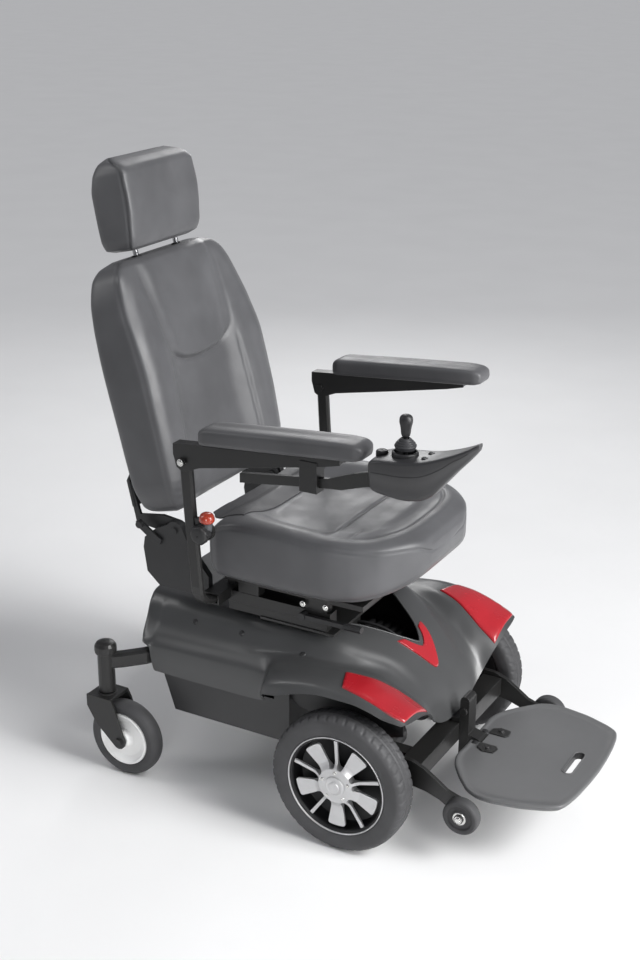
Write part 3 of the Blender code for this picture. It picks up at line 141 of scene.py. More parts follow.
def make_vinyl(name, rgb, rough=0.40, grain=1.0):
    mat, nt, bsdf = nodes_of(name)
    vec = mapping(nt)
    big = noise_tex(nt, vec, 7.0, 3.0)
    dark = tuple(c * 0.86 for c in rgb)
    light = tuple(min(1.0, c * 1.12) for c in rgb)
    col = mix_rgb(nt, ramp(nt, big, 0.0, 1.0, 0.35, 0.65), dark, light)
    vor = nt.nodes.new("ShaderNodeTexVoronoi")
    vor.feature = "DISTANCE_TO_EDGE"
    vor.inputs["Scale"].default_value = 620.0
    warp = nt.nodes.new("ShaderNodeTexNoise")
    warp.inputs["Scale"].default_value = 260.0
    warp.inputs["Detail"].default_value = 1.0
    nt.links.new(vec, warp.inputs["Vector"])
    add = nt.nodes.new("ShaderNodeVectorMath")
    add.operation = "MULTIPLY_ADD"
    nt.links.new(warp.outputs["Color"], add.inputs[0])
    add.inputs[1].default_value = (0.0012, 0.0012, 0.0012)
    nt.links.new(vec, add.inputs[2])
    nt.links.new(add.outputs[0], vor.inputs["Vector"])
    cells = ramp(nt, vor.outputs["Distance"], 0.0, 1.0, 0.0, 0.22)
    fine = noise_tex(nt, vec, 1500.0, 2.0)
    crease = noise_tex(nt, vec, 38.0, 5.0, 0.6)
    nrm = bump(nt, cells, 0.16 * grain, 0.00022)
    nrm = bump(nt, fine, 0.10 * grain, 0.00012, nrm)
    nrm = bump(nt, crease, 0.10, 0.0010, nrm)
    nt.links.new(nrm, bsdf.inputs["Normal"])
    nt.links.new(col, bsdf.inputs["Base Color"])
    nt.links.new(ramp(nt, noise_tex(nt, vec, 22.0, 4.0), rough - 0.05, rough + 0.08), bsdf.inputs["Roughness"])
    bsdf.inputs["Specular IOR Level"].default_value = 0.46
    bsdf.inputs["Sheen Weight"].default_value = 0.06
    bsdf.inputs["Sheen Roughness"].default_value = 0.5
    return mat


def make_plastic(name, rgb, rough, grain_scale=900.0, grain=0.08, coat=0.0, edge=0.0012, dust=0.05, worn=None):
    mat, nt, bsdf = nodes_of(name)
    vec = mapping(nt)
    n1 = noise_tex(nt, vec, 5.0, 4.0)
    a = tuple(c * (1 - dust) for c in rgb)
    b = tuple(min(1.0, c * (1 + dust) + dust * 0.01) for c in rgb)
    col = mix_rgb(nt, ramp(nt, n1, 0.0, 1.0), a, b)
    if worn:
        col = edge_wear(nt, bsdf, col, worn)
    nt.links.new(col, bsdf.inputs["Base Color"])
    nt.links.new(ramp(nt, noise_tex(nt, vec, 16.0, 5.0, 0.6), rough - 0.05, rough + 0.06), bsdf.inputs["Roughness"])
    base = soft_edges(nt, edge) if edge else None
    nrm = bump(nt, noise_tex(nt, vec, grain_scale, 2.0), grain, 0.0002, base)
    nt.links.new(nrm, bsdf.inputs["Normal"])
    bsdf.inputs["Coat Weight"].default_value = coat
    bsdf.inputs["Coat Roughness"].default_value = 0.08
    return mat


def make_rubber(name, rgb, rough=0.72):
    mat, nt, bsdf = nodes_of(name)
    vec = mapping(nt)
    n1 = noise_tex(nt, vec, 9.0, 5.0, 0.65)
    dusty = tuple(c * 1.55 + 0.006 for c in rgb)
    col = mix_rgb(nt, ramp(nt, n1, 0.0, 0.55, 0.42, 0.72), rgb, dusty)
    nt.links.new(col, bsdf.inputs["Base Color"])
    nt.links.new(ramp(nt, noise_tex(nt, vec, 30.0, 4.0), rough - 0.08, rough + 0.1), bsdf.inputs["Roughness"])
    nrm = bump(nt, noise_tex(nt, vec, 420.0, 4.0, 0.6), 0.22, 0.0003)
    nrm = bump(nt, noise_tex(nt, vec, 1800.0, 1.0), 0.10, 0.0001, nrm)
    nt.links.new(nrm, bsdf.inputs["Normal"])
    bsdf.inputs["Specular IOR Level"].default_value = 0.4
    return mat


def make_metal(name, rgb, rough, streak=0.0, edge=0.0010, metallic=1.0):
    mat, nt, bsdf = nodes_of(name)
    vec = mapping(nt)
    n1 = noise_tex(nt, vec, 14.0, 5.0, 0.6)
    col = mix_rgb(nt, ramp(nt, n1, 0.0, 1.0), tuple(c * 0.88 for c in rgb), rgb)
    nt.links.new(col, bsdf.inputs["Base Color"])
    nt.links.new(ramp(nt, noise_tex(nt, vec, 45.0, 5.0, 0.65), rough - 0.05, rough + 0.10), bsdf.inputs["Roughness"])
    base = soft_edges(nt, edge) if edge else None
    nrm = bump(nt, noise_tex(nt, vec, 700.0, 3.0), 0.05, 0.0002, base)
    if streak:
        sv = mapping(nt, (40.0, 40.0, 1400.0))
        nrm = bump(nt, noise_tex(nt, sv, 1.0, 2.0), streak, 0.0001, nrm)
    nt.links.new(nrm, bsdf.inputs["Normal"])
    bsdf.inputs["Metallic"].default_value = metallic
    return mat


VINYL = make_vinyl("vinyl_charcoal", (0.088, 0.0885, 0.093), 0.38)
PAD = make_vinyl("armpad_urethane", (0.082, 0.082, 0.086), 0.42, 0.7)
# Darker copy of the seat vinyl: painted shade where the backrest shades the rear of the seat.
FLAP_PAINTED_SHADE = make_vinyl("flap_vinyl_painted_shade", (0.040, 0.040, 0.043), 0.46)
SHROUD = make_plastic("shroud_satin", (0.053, 0.054, 0.055), 0.34, 1300.0, 0.06, coat=0.10, edge=0.0)
BLACK = make_plastic("black_plastic", (0.018, 0.018, 0.019), 0.44, 800.0, 0.12)
POD = make_plastic("pod_plastic", (0.036, 0.036, 0.038), 0.36, 1100.0, 0.10, edge=0.0008)
TRAY = make_plastic("tray_plastic", (0.032, 0.032, 0.033), 0.42, 700.0, 0.12)
PLATE = make_plastic("footplate_abs", (0.110, 0.111, 0.113), 0.46, 560.0, 0.30, edge=0.0010, worn=(0.22, 0.22, 0.22))
RED = make_plastic("red_gloss", (0.36, 0.012, 0.019), 0.24, 900.0, 0.02, coat=0.8, edge=0.0010, dust=0.10)
STEEL = make_plastic("black_powder_coat", (0.014, 0.0138, 0.0135), 0.36, 520.0, 0.16, edge=0.0014, worn=(0.20, 0.20, 0.20))
MOTOR = make_plastic("motor_paint", (0.024, 0.024, 0.026), 0.42, 420.0, 0.2, worn=(0.16, 0.16, 0.16))
BATTERY = make_plastic("battery_case", (0.030, 0.031, 0.036), 0.5, 600.0, 0.15)
TYRE = make_rubber("tyre_rubber", (0.046, 0.046, 0.048), 0.60)
BOOT = make_rubber("boot_rubber", (0.034, 0.034, 0.037), 0.50)
ALLOY = make_metal("wheel_silver_paint", (0.60, 0.60, 0.605), 0.34, metallic=0.5)
BARREL = make_metal("wheel_barrel_black", (0.012, 0.012, 0.013), 0.40, metallic=0.3)
WHITE = make_plastic("caster_white", (0.86, 0.86, 0.85), 0.32, 900.0, 0.05, coat=0.2)
ZINC = make_metal("bright_zinc", (0.72, 0.72, 0.70), 0.20)
CHROME = make_metal("bright_rod", (0.40, 0.40, 0.41), 0.20)
AMBER = make_plastic("knob_cap_red", (0.42, 0.045, 0.020), 0.22, 900.0, 0.02, coat=0.6)
SMOKE = make_plastic("knob_grey", (0.11, 0.115, 0.125), 0.25, 900.0, 0.02, coat=0.5)
MARK = make_plastic("mark_white", (0.7, 0.7, 0.7), 0.4, 900.0, 0.02, edge=0.0)
CABLE = make_rubber("cable_jacket", (0.016, 0.016, 0.017), 0.45)

CAD_LOOK = {
    "base_frame": STEEL, "battery_tray": TRAY, "battery_right": BATTERY, "battery_left": BATTERY, "motor_controller": BLACK,
    "footrest_hanger": STEEL, "seat_post": STEEL, "seat_frame": STEEL, "back_frame": BLACK, "recline_lever": BLACK,
    "seat_slide_lever": BLACK, "joystick_bar": STEEL, "speed_dial": BLACK, "power_button": BLACK, "horn_button": BLACK,
    "base_shroud": SHROUD, "nose_trim": RED, "footplate": PLATE, "joystick_pod": POD, "joystick_boot": BOOT, "joystick_stick": BLACK,
    "seat_cushion": VINYL, "back_cushion": VINYL, "headrest_cushion": VINYL,
}
for side in SIDES.values():
    CAD_LOOK.update({
        f"gear_motor_{side}": MOTOR, f"antitip_arm_{side}": STEEL, f"antitip_wheel_{side}": TYRE, f"caster_arm_{side}": STEEL,
        f"caster_fork_{side}": STEEL, f"caster_tyre_{side}": TYRE, f"caster_rim_{side}": WHITE, f"drive_tyre_{side}": TYRE,
        f"drive_rim_{side}": ALLOY, f"drive_hub_{side}": ALLOY, f"freewheel_lever_{side}": RED, f"fender_trim_{side}": RED,
        f"recline_bracket_{side}": BLACK, f"arm_post_{side}": STEEL, f"arm_channel_{side}": STEEL, f"arm_knob_{side}": BLACK,
        f"arm_pad_{side}": PAD, f"headrest_post_{side}": CHROME,
    })
for name, mat in CAD_LOOK.items():
    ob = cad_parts[name]
    for k in range(max(1, len(ob.material_slots))):
        if not ob.material_slots:
            ob.data.materials.append(mat)
        else:
            ob.material_slots[k].material = mat


# ============================================================ mesh helpers
def curve(xs, ys, t):
    """Monotone cubic through (xs, ys) at t (numpy)."""
    xs, ys, t = np.asarray(xs, float), np.asarray(ys, float), np.asarray(t, float)
    d = np.diff(ys) / np.diff(xs)
    m = np.zeros_like(ys)
    m[0], m[-1] = d[0], d[-1]
    for i in range(1, len(ys) - 1):
        m[i] = 0.0 if d[i - 1] * d[i] <= 0 else 2 * d[i - 1] * d[i] / (d[i - 1] + d[i])
    i = np.clip(np.searchsorted(xs, t) - 1, 0, len(xs) - 2)
    h = xs[i + 1] - xs[i]
    f = (t - xs[i]) / h
    return ((2 * f**3 - 3 * f**2 + 1) * ys[i] + (f**3 - 2 * f**2 + f) * h * m[i] + (-2 * f**3 + 3 * f**2) * ys[i + 1] + (f**3 - f**2) * h * m[i + 1])


def smooth(a, b, x):
    t = np.clip((np.asarray(x, float) - a) / (b - a), 0, 1)
    return t * t * (3 - 2 * t)


def groove(dist, width):
    return np.exp(-(np.asarray(dist) / width) ** 2)


def mesh_object(name, verts, faces, mat, body, angle=40, shift=True):
    mesh = bpy.data.meshes.new(name)
    v = np.asarray(verts, float).reshape(-1, 3)
    if shift:
        v = v + np.array([X0, 0, 0])
    mesh.from_pydata(v.tolist(), [], [tuple(int(i) for i in f) for f in faces])
    bm = bmesh.new()
    bm.from_mesh(mesh)
    bmesh.ops.remove_doubles(bm, verts=bm.verts, dist=1e-6)
    bmesh.ops.recalc_face_normals(bm, faces=bm.faces)
    bm.to_mesh(mesh)
    bm.free()
    mesh.materials.append(mat)
    mesh.shade_smooth()
    if angle:
        mesh.set_sharp_from_angle(angle=math.radians(angle))
    ob = bpy.data.objects.new(name, mesh)
    bpy.context.scene.collection.objects.link(ob)
    if body:
        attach(ob, body)
    return ob


def grid_faces(nr, nc, wrap=True, cap=True):
    faces = []
    m = nc if wrap else nc - 1
    for i in range(nr - 1):
        for k in range(m):
            faces.append((i * nc + k, i * nc + (k + 1) % nc, (i + 1) * nc + (k + 1) % nc, (i + 1) * nc + k))
    return faces


def closed_skin(rings, name, mat, body, angle=0):
    """Rings of equal length, closed at both ends by a fan to the ring's middle."""
    rings = np.asarray(rings, float)
    nr, nc = rings.shape[:2]
    verts = rings.reshape(-1, 3)
    a, b = rings[0].mean(0), rings[-1].mean(0)
    verts = np.vstack([verts, a, b])
    faces = grid_faces(nr, nc)
    faces += [((k + 1) % nc, k, nr * nc) for k in range(nc)]
    faces += [((nr - 1) * nc + k, (nr - 1) * nc + (k + 1) % nc, nr * nc + 1) for k in range(nc)]
    return mesh_object(name, verts, faces, mat, body, angle)


def sheet(name, top, bottom, mat, body, angle=40):
    """Thin panel between two grids of points."""
    nr, nc = top.shape[:2]
    n = nr * nc
    faces = []
    for i in range(nr - 1):
        for j in range(nc - 1):
            a = i * nc + j
            faces.append((a, a + 1, a + nc + 1, a + nc))
            faces.append((n + a, n + a + nc, n + a + nc + 1, n + a + 1))
    rim = list(range(nc)) + [i * nc + nc - 1 for i in range(1, nr)] + [(nr - 1) * nc + j for j in range(nc - 2, -1, -1)] + [i * nc for i in range(nr - 2, 0, -1)]
    for a, b in zip(rim, rim[1:] + rim[:1]):
        faces.append((a, b, n + b, n + a))
    return mesh_object(name, np.vstack([top.reshape(-1, 3), bottom.reshape(-1, 3)]), faces, mat, body, angle)


def super_ring(w, lo, hi, power, count, crisp=None):
    """Superellipse ring (across, height), points spaced evenly round it. crisp is the upper half's power."""
    a = np.linspace(0, 2 * math.pi, 3600, endpoint=False)
    c, s = np.cos(a), np.sin(a)
    power = np.where(s > 0, crisp if crisp is not None else power, power)
    y = w * np.sign(c) * np.abs(c) ** power
    z = (lo + hi) / 2 + (hi - lo) / 2 * np.sign(s) * np.abs(s) ** power
    p = np.stack([y, z], 1)
    seg = np.linalg.norm(np.roll(p, -1, 0) - p, axis=1)
    t = np.concatenate([[0], np.cumsum(seg)])
    q = np.vstack([p, p[:1]])
    at = np.linspace(0, t[-1], count, endpoint=False)
    return np.stack([np.interp(at, t, q[:, 0]), np.interp(at, t, q[:, 1])], 1)


def frame_at(centre, direction):
    turn = Vector(direction).to_track_quat("Z", "Y").to_matrix().to_4x4()
    return Matrix.Translation(Vector(centre)) @ turn


def lathe(name, profile, centre, direction, n, mat, body, closed=True, angle=35, radial=None):
    """Turned piece. radial(angle array, row) may add to the radius."""
    m = frame_at(centre, direction)
    prof = np.asarray(profile, float)
    a = np.linspace(0, 2 * math.pi, n, endpoint=False)
    verts, nr = [], len(prof)
    for i, (r, h) in enumerate(prof):
        rr = np.full(n, r)
        if radial is not None:
            rr = rr + radial(a, i, r, h)
        verts.append(np.stack([rr * np.cos(a), rr * np.sin(a), np.full(n, h)], 1))
    v = np.vstack(verts)
    M = np.array(m)
    v = v @ M[:3, :3].T + M[:3, 3]
    rows = nr if closed else nr - 1
    faces = []
    for i in range(rows):
        j = (i + 1) % nr
        for k in range(n):
            faces.append((i * n + k, i * n + (k + 1) % n, j * n + (k + 1) % n, j * n + k))
    if not closed:
        faces += [tuple(range(n))[::-1], tuple(range((nr - 1) * n, nr * n))]
    return mesh_object(name, v, faces, mat, body, angle)


def rounded_profile(points, radius, steps=4):
    """Rounds the corners of a closed profile."""
    pts = [np.array(p, float) for p in points]
    out = []
    n = len(pts)
    for i, p in enumerate(pts):
        a, b = pts[i - 1], pts[(i + 1) % n]
        da, db = a - p, b - p
        la, lb = np.linalg.norm(da), np.linalg.norm(db)
        r = min(radius, la * 0.45, lb * 0.45)
        p0, p1 = p + da / la * r, p + db / lb * r
        for k in range(steps + 1):
            t = k / steps
            out.append(tuple((1 - t) ** 2 * p0 + 2 * t * (1 - t) * p + t**2 * p1))
    return out


def tube(name, points, r, mat, body, n=10, closed=False):
    """Round bar along points."""
    pts = [Vector(p) for p in points]
    rings = []
    ref = Vector((0, 0, 1))
    for i, p in enumerate(pts):
        if closed:
            t = (pts[(i + 1) % len(pts)] - pts[i - 1]).normalized()
        else:
            t = (pts[min(i + 1, len(pts) - 1)] - pts[max(i - 1, 0)]).normalized()
        side = t.cross(ref)
        if side.length < 1e-3:
            side = t.cross(Vector((1, 0, 0)))
        side.normalize()
        up = side.cross(t).normalized()
        rings.append([list(p + side * (r * math.cos(2 * math.pi * k / n)) + up * (r * math.sin(2 * math.pi * k / n))) for k in range(n)])
    rings = np.array(rings)
    if closed:
        rings = np.vstack([rings, rings[:1]])
        return mesh_object(name, rings.reshape(-1, 3), grid_faces(len(rings), n), mat, body, 0)
    return closed_skin(rings, name, mat, body, 50)


def bolt(name, centre, direction, r, h, body, mat=None, sides=6):
    """Hex head with a washer and a chamfer."""
    mat = mat or ZINC
    m = frame_at(centre, direction)
    prof = [(0.0, 0.0), (r * 1.32, 0.0), (r * 1.32, h * 0.22), (r * 1.02, h * 0.24)]
    a = np.linspace(0, 2 * math.pi, 24, endpoint=False)
    verts = []
    for rr, hh in prof[1:]:
        verts.append(np.stack([rr * np.cos(a), rr * np.sin(a), np.full(24, hh)], 1))
    hexr = r / np.cos((a % (math.pi / 3)) - math.pi / 6) * math.cos(math.pi / 6)
    for f, hh in ((1.0, h * 0.25), (1.0, h * 0.88), (0.86, h)):
        verts.append(np.stack([hexr * f * np.cos(a), hexr * f * np.sin(a), np.full(24, hh)], 1))
    v = np.vstack(verts)
    M = np.array(m)
    v = v @ M[:3, :3].T + M[:3, 3]
    nr = len(verts)
    faces = grid_faces(nr, 24)
    faces += [tuple(range(24))[::-1], tuple(range((nr - 1) * 24, nr * 24))]
    return mesh_object(name, v, faces, mat, body, 30)


def wobble(v, scale, amount, seed=0.0):
    """Small smooth unevenness, the same each run."""
    out = np.empty(len(v))
    for i, p in enumerate(v):
        out[i] = noise.noise(Vector((p[0] * scale + seed, p[1] * scale, p[2] * scale)))
    return out * amount


# ================================================================ upholstery
TILT = math.radians(13.0)
BD = np.array([-math.sin(TILT), 0.0, math.cos(TILT)])
BN = np.array([math.cos(TILT), 0.0, math.sin(TILT)])
FOOT = np.array([-0.534, 0.0, 0.590])


def on_back(s, n, y):
    s, n, y = np.broadcast_arrays(np.asarray(s, float), np.asarray(n, float), np.asarray(y, float))
    return FOOT + s[..., None] * BD + n[..., None] * BN + y[..., None] * np.array([0, 1.0, 0])


def end_stations(xs, count, ease=0.35):
    """Stations along a cushion, closer together near its ends."""
    t = np.linspace(0, 1, count)
    t = (1 - ease) * t + ease * (0.5 - 0.5 * np.cos(math.pi * t))
    return xs[0] + (xs[-1] - xs[0]) * t


def build_seat_cushion():
    X = [-0.364, -0.356, -0.330, -0.200, -0.090, -0.030, 0.020, 0.055, 0.078, 0.0892]
    W = [0.200, 0.2260, 0.2385, 0.2405, 0.2380, 0.2250, 0.1960, 0.1560, 0.1150, 0.0760]
    LO = [0.546, 0.518, 0.503, 0.502, 0.5022, 0.5060, 0.519, 0.536, 0.555, 0.574]
    HI = [0.606, 0.630, 0.646, 0.652, 0.652, 0.650, 0.647, 0.6425, 0.634, 0.618]
    xs = end_stations(X, 150, 0.45)
    rings, count = [], 300
    for x in xs:
        w, lo, hi = float(curve(X, W, x)), float(curve(X, LO, x)), float(curve(X, HI, x))
        ring = super_ring(w, lo, hi, 0.30, count, 0.19)
        rings.append(np.column_stack([np.full(count, x), ring[:, 0], ring[:, 1]]))
    R = np.array(rings)
    x, y, z = R[..., 0], R[..., 1], R[..., 2]
    lo, hi = curve(X, LO, x), curve(X, HI, x)
    w = curve(X, W, x)
    f = (z - lo) / (hi - lo)
    top = smooth(0.60, 0.93, f)
    ay = np.abs(y)
    # The near and far bolsters are highest a third of the way from the back.
    z = z - top * (0.0060 * smooth(-0.20, -0.02, x) * smooth(0.12, 0.19, ay) + 0.012 * (1 - smooth(-0.36, -0.29, x)))
    # Bucket: side bolsters and a front roll round a sunk insert.
    rad = ((ay / 0.204) ** 3.0 + (np.abs(x + 0.160) / 0.196) ** 3.0) ** (1 / 3.0)
    front_part = smooth(-0.12, 0.0, x)
    inside = (1 - smooth(0.60, 1.04, rad)) * (1 - front_part) + (1 - smooth(0.80, 1.03, rad)) * front_part
    depth = 0.032 * (1 - smooth(-0.170, 0.000, x)) + 0.0095 * smooth(-0.170, 0.000, x)
    z = z - top * inside * depth
    # A soft roll outside the step, with the seam at its foot along the front.
    z = z + top * groove((rad - 1.075) * 0.19, 0.0110) * 0.0022 * smooth(-0.12, -0.01, x)
    z = z - top * groove((rad - 0.990) * 0.19, 0.0026) * (0.0004 + 0.0020 * smooth(-0.10, 0.0, x))
    # Front pillow of the insert, a straight crease behind it.
    back_edge = -0.103 + 0.004 * (ay / 0.15) ** 2
    held = (1 - smooth(0.86, 1.00, rad))
    pil = smooth(back_edge - 0.004, back_edge + 0.016, x) * held
    z = z + top * pil * 0.0075 * (1 - smooth(-0.02, 0.03, x)) - top * groove(x - back_edge + 0.005, 0.0032) * held * 0.0040
    # Short pull crease in front of it on each side.
    z = z - top * groove(x + 0.045 + 0.10 * (ay - 0.15), 0.0030) * smooth(0.125, 0.145, ay) * (1 - smooth(0.172, 0.190, ay)) * 0.0022
    side = smooth(0.86, 0.985, ay / w)
    edge = (1 - f) * (hi - lo)
    # Piped seam along the top edge, then a shallow channel under it.
    pipe = groove(edge - 0.0085, 0.0024) * 0.0011 - groove(edge - 0.0140, 0.0028) * 0.0019
    y = y + np.sign(y) * side * pipe
    y = y - np.sign(y) * side * groove((f - 0.09) * (hi - lo), 0.0028) * 0.0020
    ends = smooth(0.070, 0.086, x)
    x = x - ends * groove(edge - 0.0130, 0.0030) * 0.0026
    y = y + np.sign(y) * side * 0.0016 * np.sin(math.pi * np.clip(f, 0, 1))
    R = np.stack([x, y, z], -1)
    flat = R.reshape(-1, 3)
    fw, sidef = f.reshape(-1), side.reshape(-1)
    # Gathers in the vinyl under the seam, strongest half way along the side.
    gx = np.exp(-((flat[:, 0] + 0.135) / 0.050) ** 2)
    pleat = np.sin(flat[:, 0] * 2 * math.pi / 0.0085 + 1.4 * np.sin(flat[:, 0] * 110)) * np.exp(-((fw - 0.84) / 0.09) ** 2) * gx
    flat[:, 1] += np.sign(flat[:, 1]) * pleat * sidef * 0.0010
    flat[:, 2] += wobble(flat, 24.0, 0.0007) * smooth(0.3, 0.8, fw)
    flat[:, 1] += np.sign(flat[:, 1]) * wobble(flat, 13.0, 0.0012, 3.0) * sidef
    ob = closed_skin(R, "seat_cushion_cover", VINYL, "seat")
    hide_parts("seat_cushion")
    return ob


def build_seat_flap(cushion):
    """Vinyl flap lying on the back of the seat and reaching towards the backrest; its darker vinyl is painted shade
    from the backrest.
    """
    bpy.context.view_layer.update()
    tree = BVHTree.FromObject(cushion, bpy.context.evaluated_depsgraph_get())
    place = cushion.matrix_world
    back = place.inverted()
    nx, ny, thick = 34, 60, 0.0034
    top = []
    for x in np.linspace(-0.290, -0.377, nx):
        row = []
        half = 0.196 - 0.016 * (1 - float(smooth(-0.377, -0.360, x)))
        for y in np.linspace(-half, half, ny):
            px = max(x, -0.345)
            start = back @ Vector((px + X0, y, 0.90))
            hit = tree.ray_cast(start, back.to_3x3() @ Vector((0, 0, -1)))[0]
            z = (place @ hit).z if hit is not None else 0.63
            z = z + 0.0026 + max(0.0, -0.345 - x) * 0.06
            row.append((x, y, z))
        top.append(row)
    T = np.array(top)
    # Ease the height so that the flap spans the dish in one sheet.
    for _ in range(6):
        Z = T[:, :, 2].copy()
        Z[1:-1] = np.maximum(Z[1:-1], (Z[:-2] + Z[2:]) / 2)
        T[:, :, 2] = Z
    # The flap's dark material paints the backrest's shade onto the seat.
    ob = sheet("seat_rear_flap", T, T - np.array([0, 0, thick]), FLAP_PAINTED_SHADE, "seat")
    return ob


def build_back_cushion():
    Q = [0.0110, 0.018, 0.034, 0.090, 0.200, 0.310, 0.390, 0.460, 0.515, 0.540, 0.5515]
    W = [0.180, 0.1960, 0.2130, 0.2320, 0.2345, 0.2335, 0.2275, 0.2165, 0.1985, 0.1770, 0.1450]
    RE = [-0.006, -0.012, -0.0155, -0.0175, -0.0205, -0.0255, -0.0295, -0.0305, -0.0255, -0.013, 0.006]
    FR = [0.074, 0.088, 0.1010, 0.1120, 0.1140, 0.1125, 0.1010, 0.0860, 0.0745, 0.0640, 0.0480]
    qs = end_stations(Q, 170, 0.4)
    rings, count = [], 280
    for q in qs:
        w, r, f = float(curve(Q, W, q)), float(curve(Q, RE, q)), float(curve(Q, FR, q))
        ring = super_ring(w, r, f, 0.36, count, 0.20)
        rings.append(np.column_stack([np.full(count, q), ring[:, 0], ring[:, 1]]))
    R = np.array(rings)
    q, y, n = R[..., 0], R[..., 1], R[..., 2]
    w, r, f = curve(Q, W, q), curve(Q, RE, q), curve(Q, FR, q)
    t = (n - r) / (f - r)
    front = smooth(0.60, 0.93, t)
    ay = np.abs(y)
    # Centre panel sunk between two bolsters, with a seam down each side of it.
    half = curve([0.0, 0.12, 0.26, 0.36, 0.56], [0.150, 0.146, 0.136, 0.126, 0.116], q)
    depth = curve([0.0, 0.08, 0.20, 0.33, 0.44, 0.56], [0.016, 0.026, 0.031, 0.024, 0.012, 0.004], q)
    n = n - front * depth * (1 - smooth(0.62, 1.22, ay / half))
    line = 1 - smooth(0.300, 0.345, q)
    n = n - front * groove(ay - half, 0.0030) * 0.0026 * line
    n = n + front * groove(ay - half - 0.0070, 0.0055) * 0.0008 * line
    # The crests of the bolsters.
    n = n + front * groove(ay - (w - 0.034), 0.020) * 0.0050 * smooth(0.03, 0.10, q) * (1 - smooth(0.48, 0.54, q))
    # Shoulder pillow: wide at the top, its lower edge a shallow U.
    low = 0.312 + 0.022 * (ay / 0.12) ** 2
    wide = curve([0.0, 0.30, 0.36, 0.44, 0.56], [0.100, 0.106, 0.122, 0.132, 0.142], q)
    px = np.maximum(0, (low + 0.030 - q) / 0.030)
    py = np.maximum(0, (ay - (wide - 0.050)) / 0.050)
    pillow = np.sqrt(px**2 + py**2)
    under = smooth(0.15, 0.85, px / np.maximum(1e-6, px + py))
    step = (1 - smooth(0.30, 1.00, pillow)) * (1 - under) + (1 - smooth(0.60, 0.99, pillow)) * under
    n = n + front * step * 0.0112
    n = n - front * groove((pillow - 1.02) * 0.030, 0.0028) * (0.0012 + 0.0042 * under) * (1 - smooth(0.50, 0.54, q))
    side = smooth(0.86, 0.985, ay / w)
    edge = (1 - t) * (f - r)
    # Piped seam where the front meets the side, a plain one where the side meets the back.
    y = y + np.sign(y) * side * (groove(edge - 0.0090, 0.0024) * 0.0011 - groove(edge - 0.0150, 0.0028) * 0.0018)
    y = y - np.sign(y) * side * groove(t * (f - r) - 0.014, 0.0026) * 0.0024
    y = y + np.sign(y) * side * 0.0018 * np.sin(math.pi * np.clip(t, 0, 1))
    tops = smooth(0.525, 0.547, q)
    q = q - tops * groove(edge - 0.0120, 0.0028) * 0.0028
    local = np.stack([q, y, n], -1).reshape(-1, 3)
    ff = front.reshape(-1)
    local[:, 2] += wobble(local, 16.0, 0.0009, 4.0) * ff
    local[:, 1] += np.sign(local[:, 1]) * wobble(local, 8.0, 0.0012, 7.0) * side.reshape(-1)
    # Light creases low in the back, either side of the centre.
    cr = np.sin(local[:, 0] * 2 * math.pi / 0.017 + 3 * np.sin(local[:, 1] * 30)) * np.exp(-((local[:, 0] - 0.060) / 0.030) ** 2) * np.exp(-((np.abs(local[:, 1]) - 0.17) / 0.05) ** 2)
    local[:, 2] += cr * 0.0008 * ff
    P = on_back(local[:, 0], local[:, 2], local[:, 1]).reshape(R.shape)
    ob = closed_skin(P, "back_cushion_cover", VINYL, "backrest")
    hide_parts("back_cushion")
    return ob


def build_headrest():
    Q = [0.568, 0.575, 0.600, 0.690, 0.728, 0.740, 0.753, 0.7635]
    W = [0.106, 0.1225, 0.1295, 0.1315, 0.1290, 0.1255, 0.1175, 0.0960]
    RE = [-0.014, -0.026, -0.0300, -0.0270, -0.0160, -0.0090, 0.0030, 0.0200]
    FR = [0.052, 0.066, 0.0760, 0.0880, 0.0875, 0.0820, 0.0640, 0.0400]
    qs = end_stations(Q, 104, 0.5)
    rings, count = [], 200
    for q in qs:
        w, r, f = float(curve(Q, W, q)), float(curve(Q, RE, q)), float(curve(Q, FR, q))
        ring = super_ring(w, r, f, 0.40, count, 0.16)
        rings.append(np.column_stack([np.full(count, q), ring[:, 0], ring[:, 1]]))
    R = np.array(rings)
    q, y, n = R[..., 0], R[..., 1], R[..., 2]
    w, r, f = curve(Q, W, q), curve(Q, RE, q), curve(Q, FR, q)
    t = (n - r) / (f - r)
    ay = np.abs(y)
    front = smooth(0.6, 0.97, t)
    side = smooth(0.86, 0.985, ay / w)
    # Front face a little hollow for the head, with a welt seam round it.
    n = n - front * 0.007 * (1 - smooth(0.3, 0.95, ay / 0.115)) * np.exp(-((q - 0.665) / 0.06) ** 2)
    edge = (1 - t) * (f - r)
    y = y + np.sign(y) * side * (groove(edge - 0.0060, 0.0020) * 0.0016 - groove(edge - 0.0110, 0.0024) * 0.0030)
    y = y - np.sign(y) * side * groove((t - 0.10) * (f - r), 0.0028) * 0.0022
    y = y + np.sign(y) * side * 0.0018 * np.sin(math.pi * np.clip(t, 0, 1))
    ends = smooth(0.742, 0.757, q)
    q = q - ends * groove(edge - 0.0120, 0.0026) * 0.0026
    local = np.stack([q, y, n], -1).reshape(-1, 3)
    local[:, 2] += wobble(local, 28.0, 0.0006, 9.0) * smooth(0.4, 0.9, t.reshape(-1))
    P = on_back(local[:, 0], local[:, 2], local[:, 1]).reshape(R.shape)
    ob = closed_skin(P, "headrest_cover", VINYL, "headrest")
    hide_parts("headrest_cushion")
    # Plastic collars where the rods enter the backrest.
    for s in (-1, 1):
        c = on_back(0.5475, 0.030, s * 0.075)
        lathe(f"headrest_guide_{SIDES[s]}", rounded_profile([(0.0064, -0.004), (0.0125, -0.004), (0.0125, 0.0045), (0.0095, 0.0065), (0.0064, 0.0065)], 0.001, 2), c, BD, 28, BLACK, "backrest")


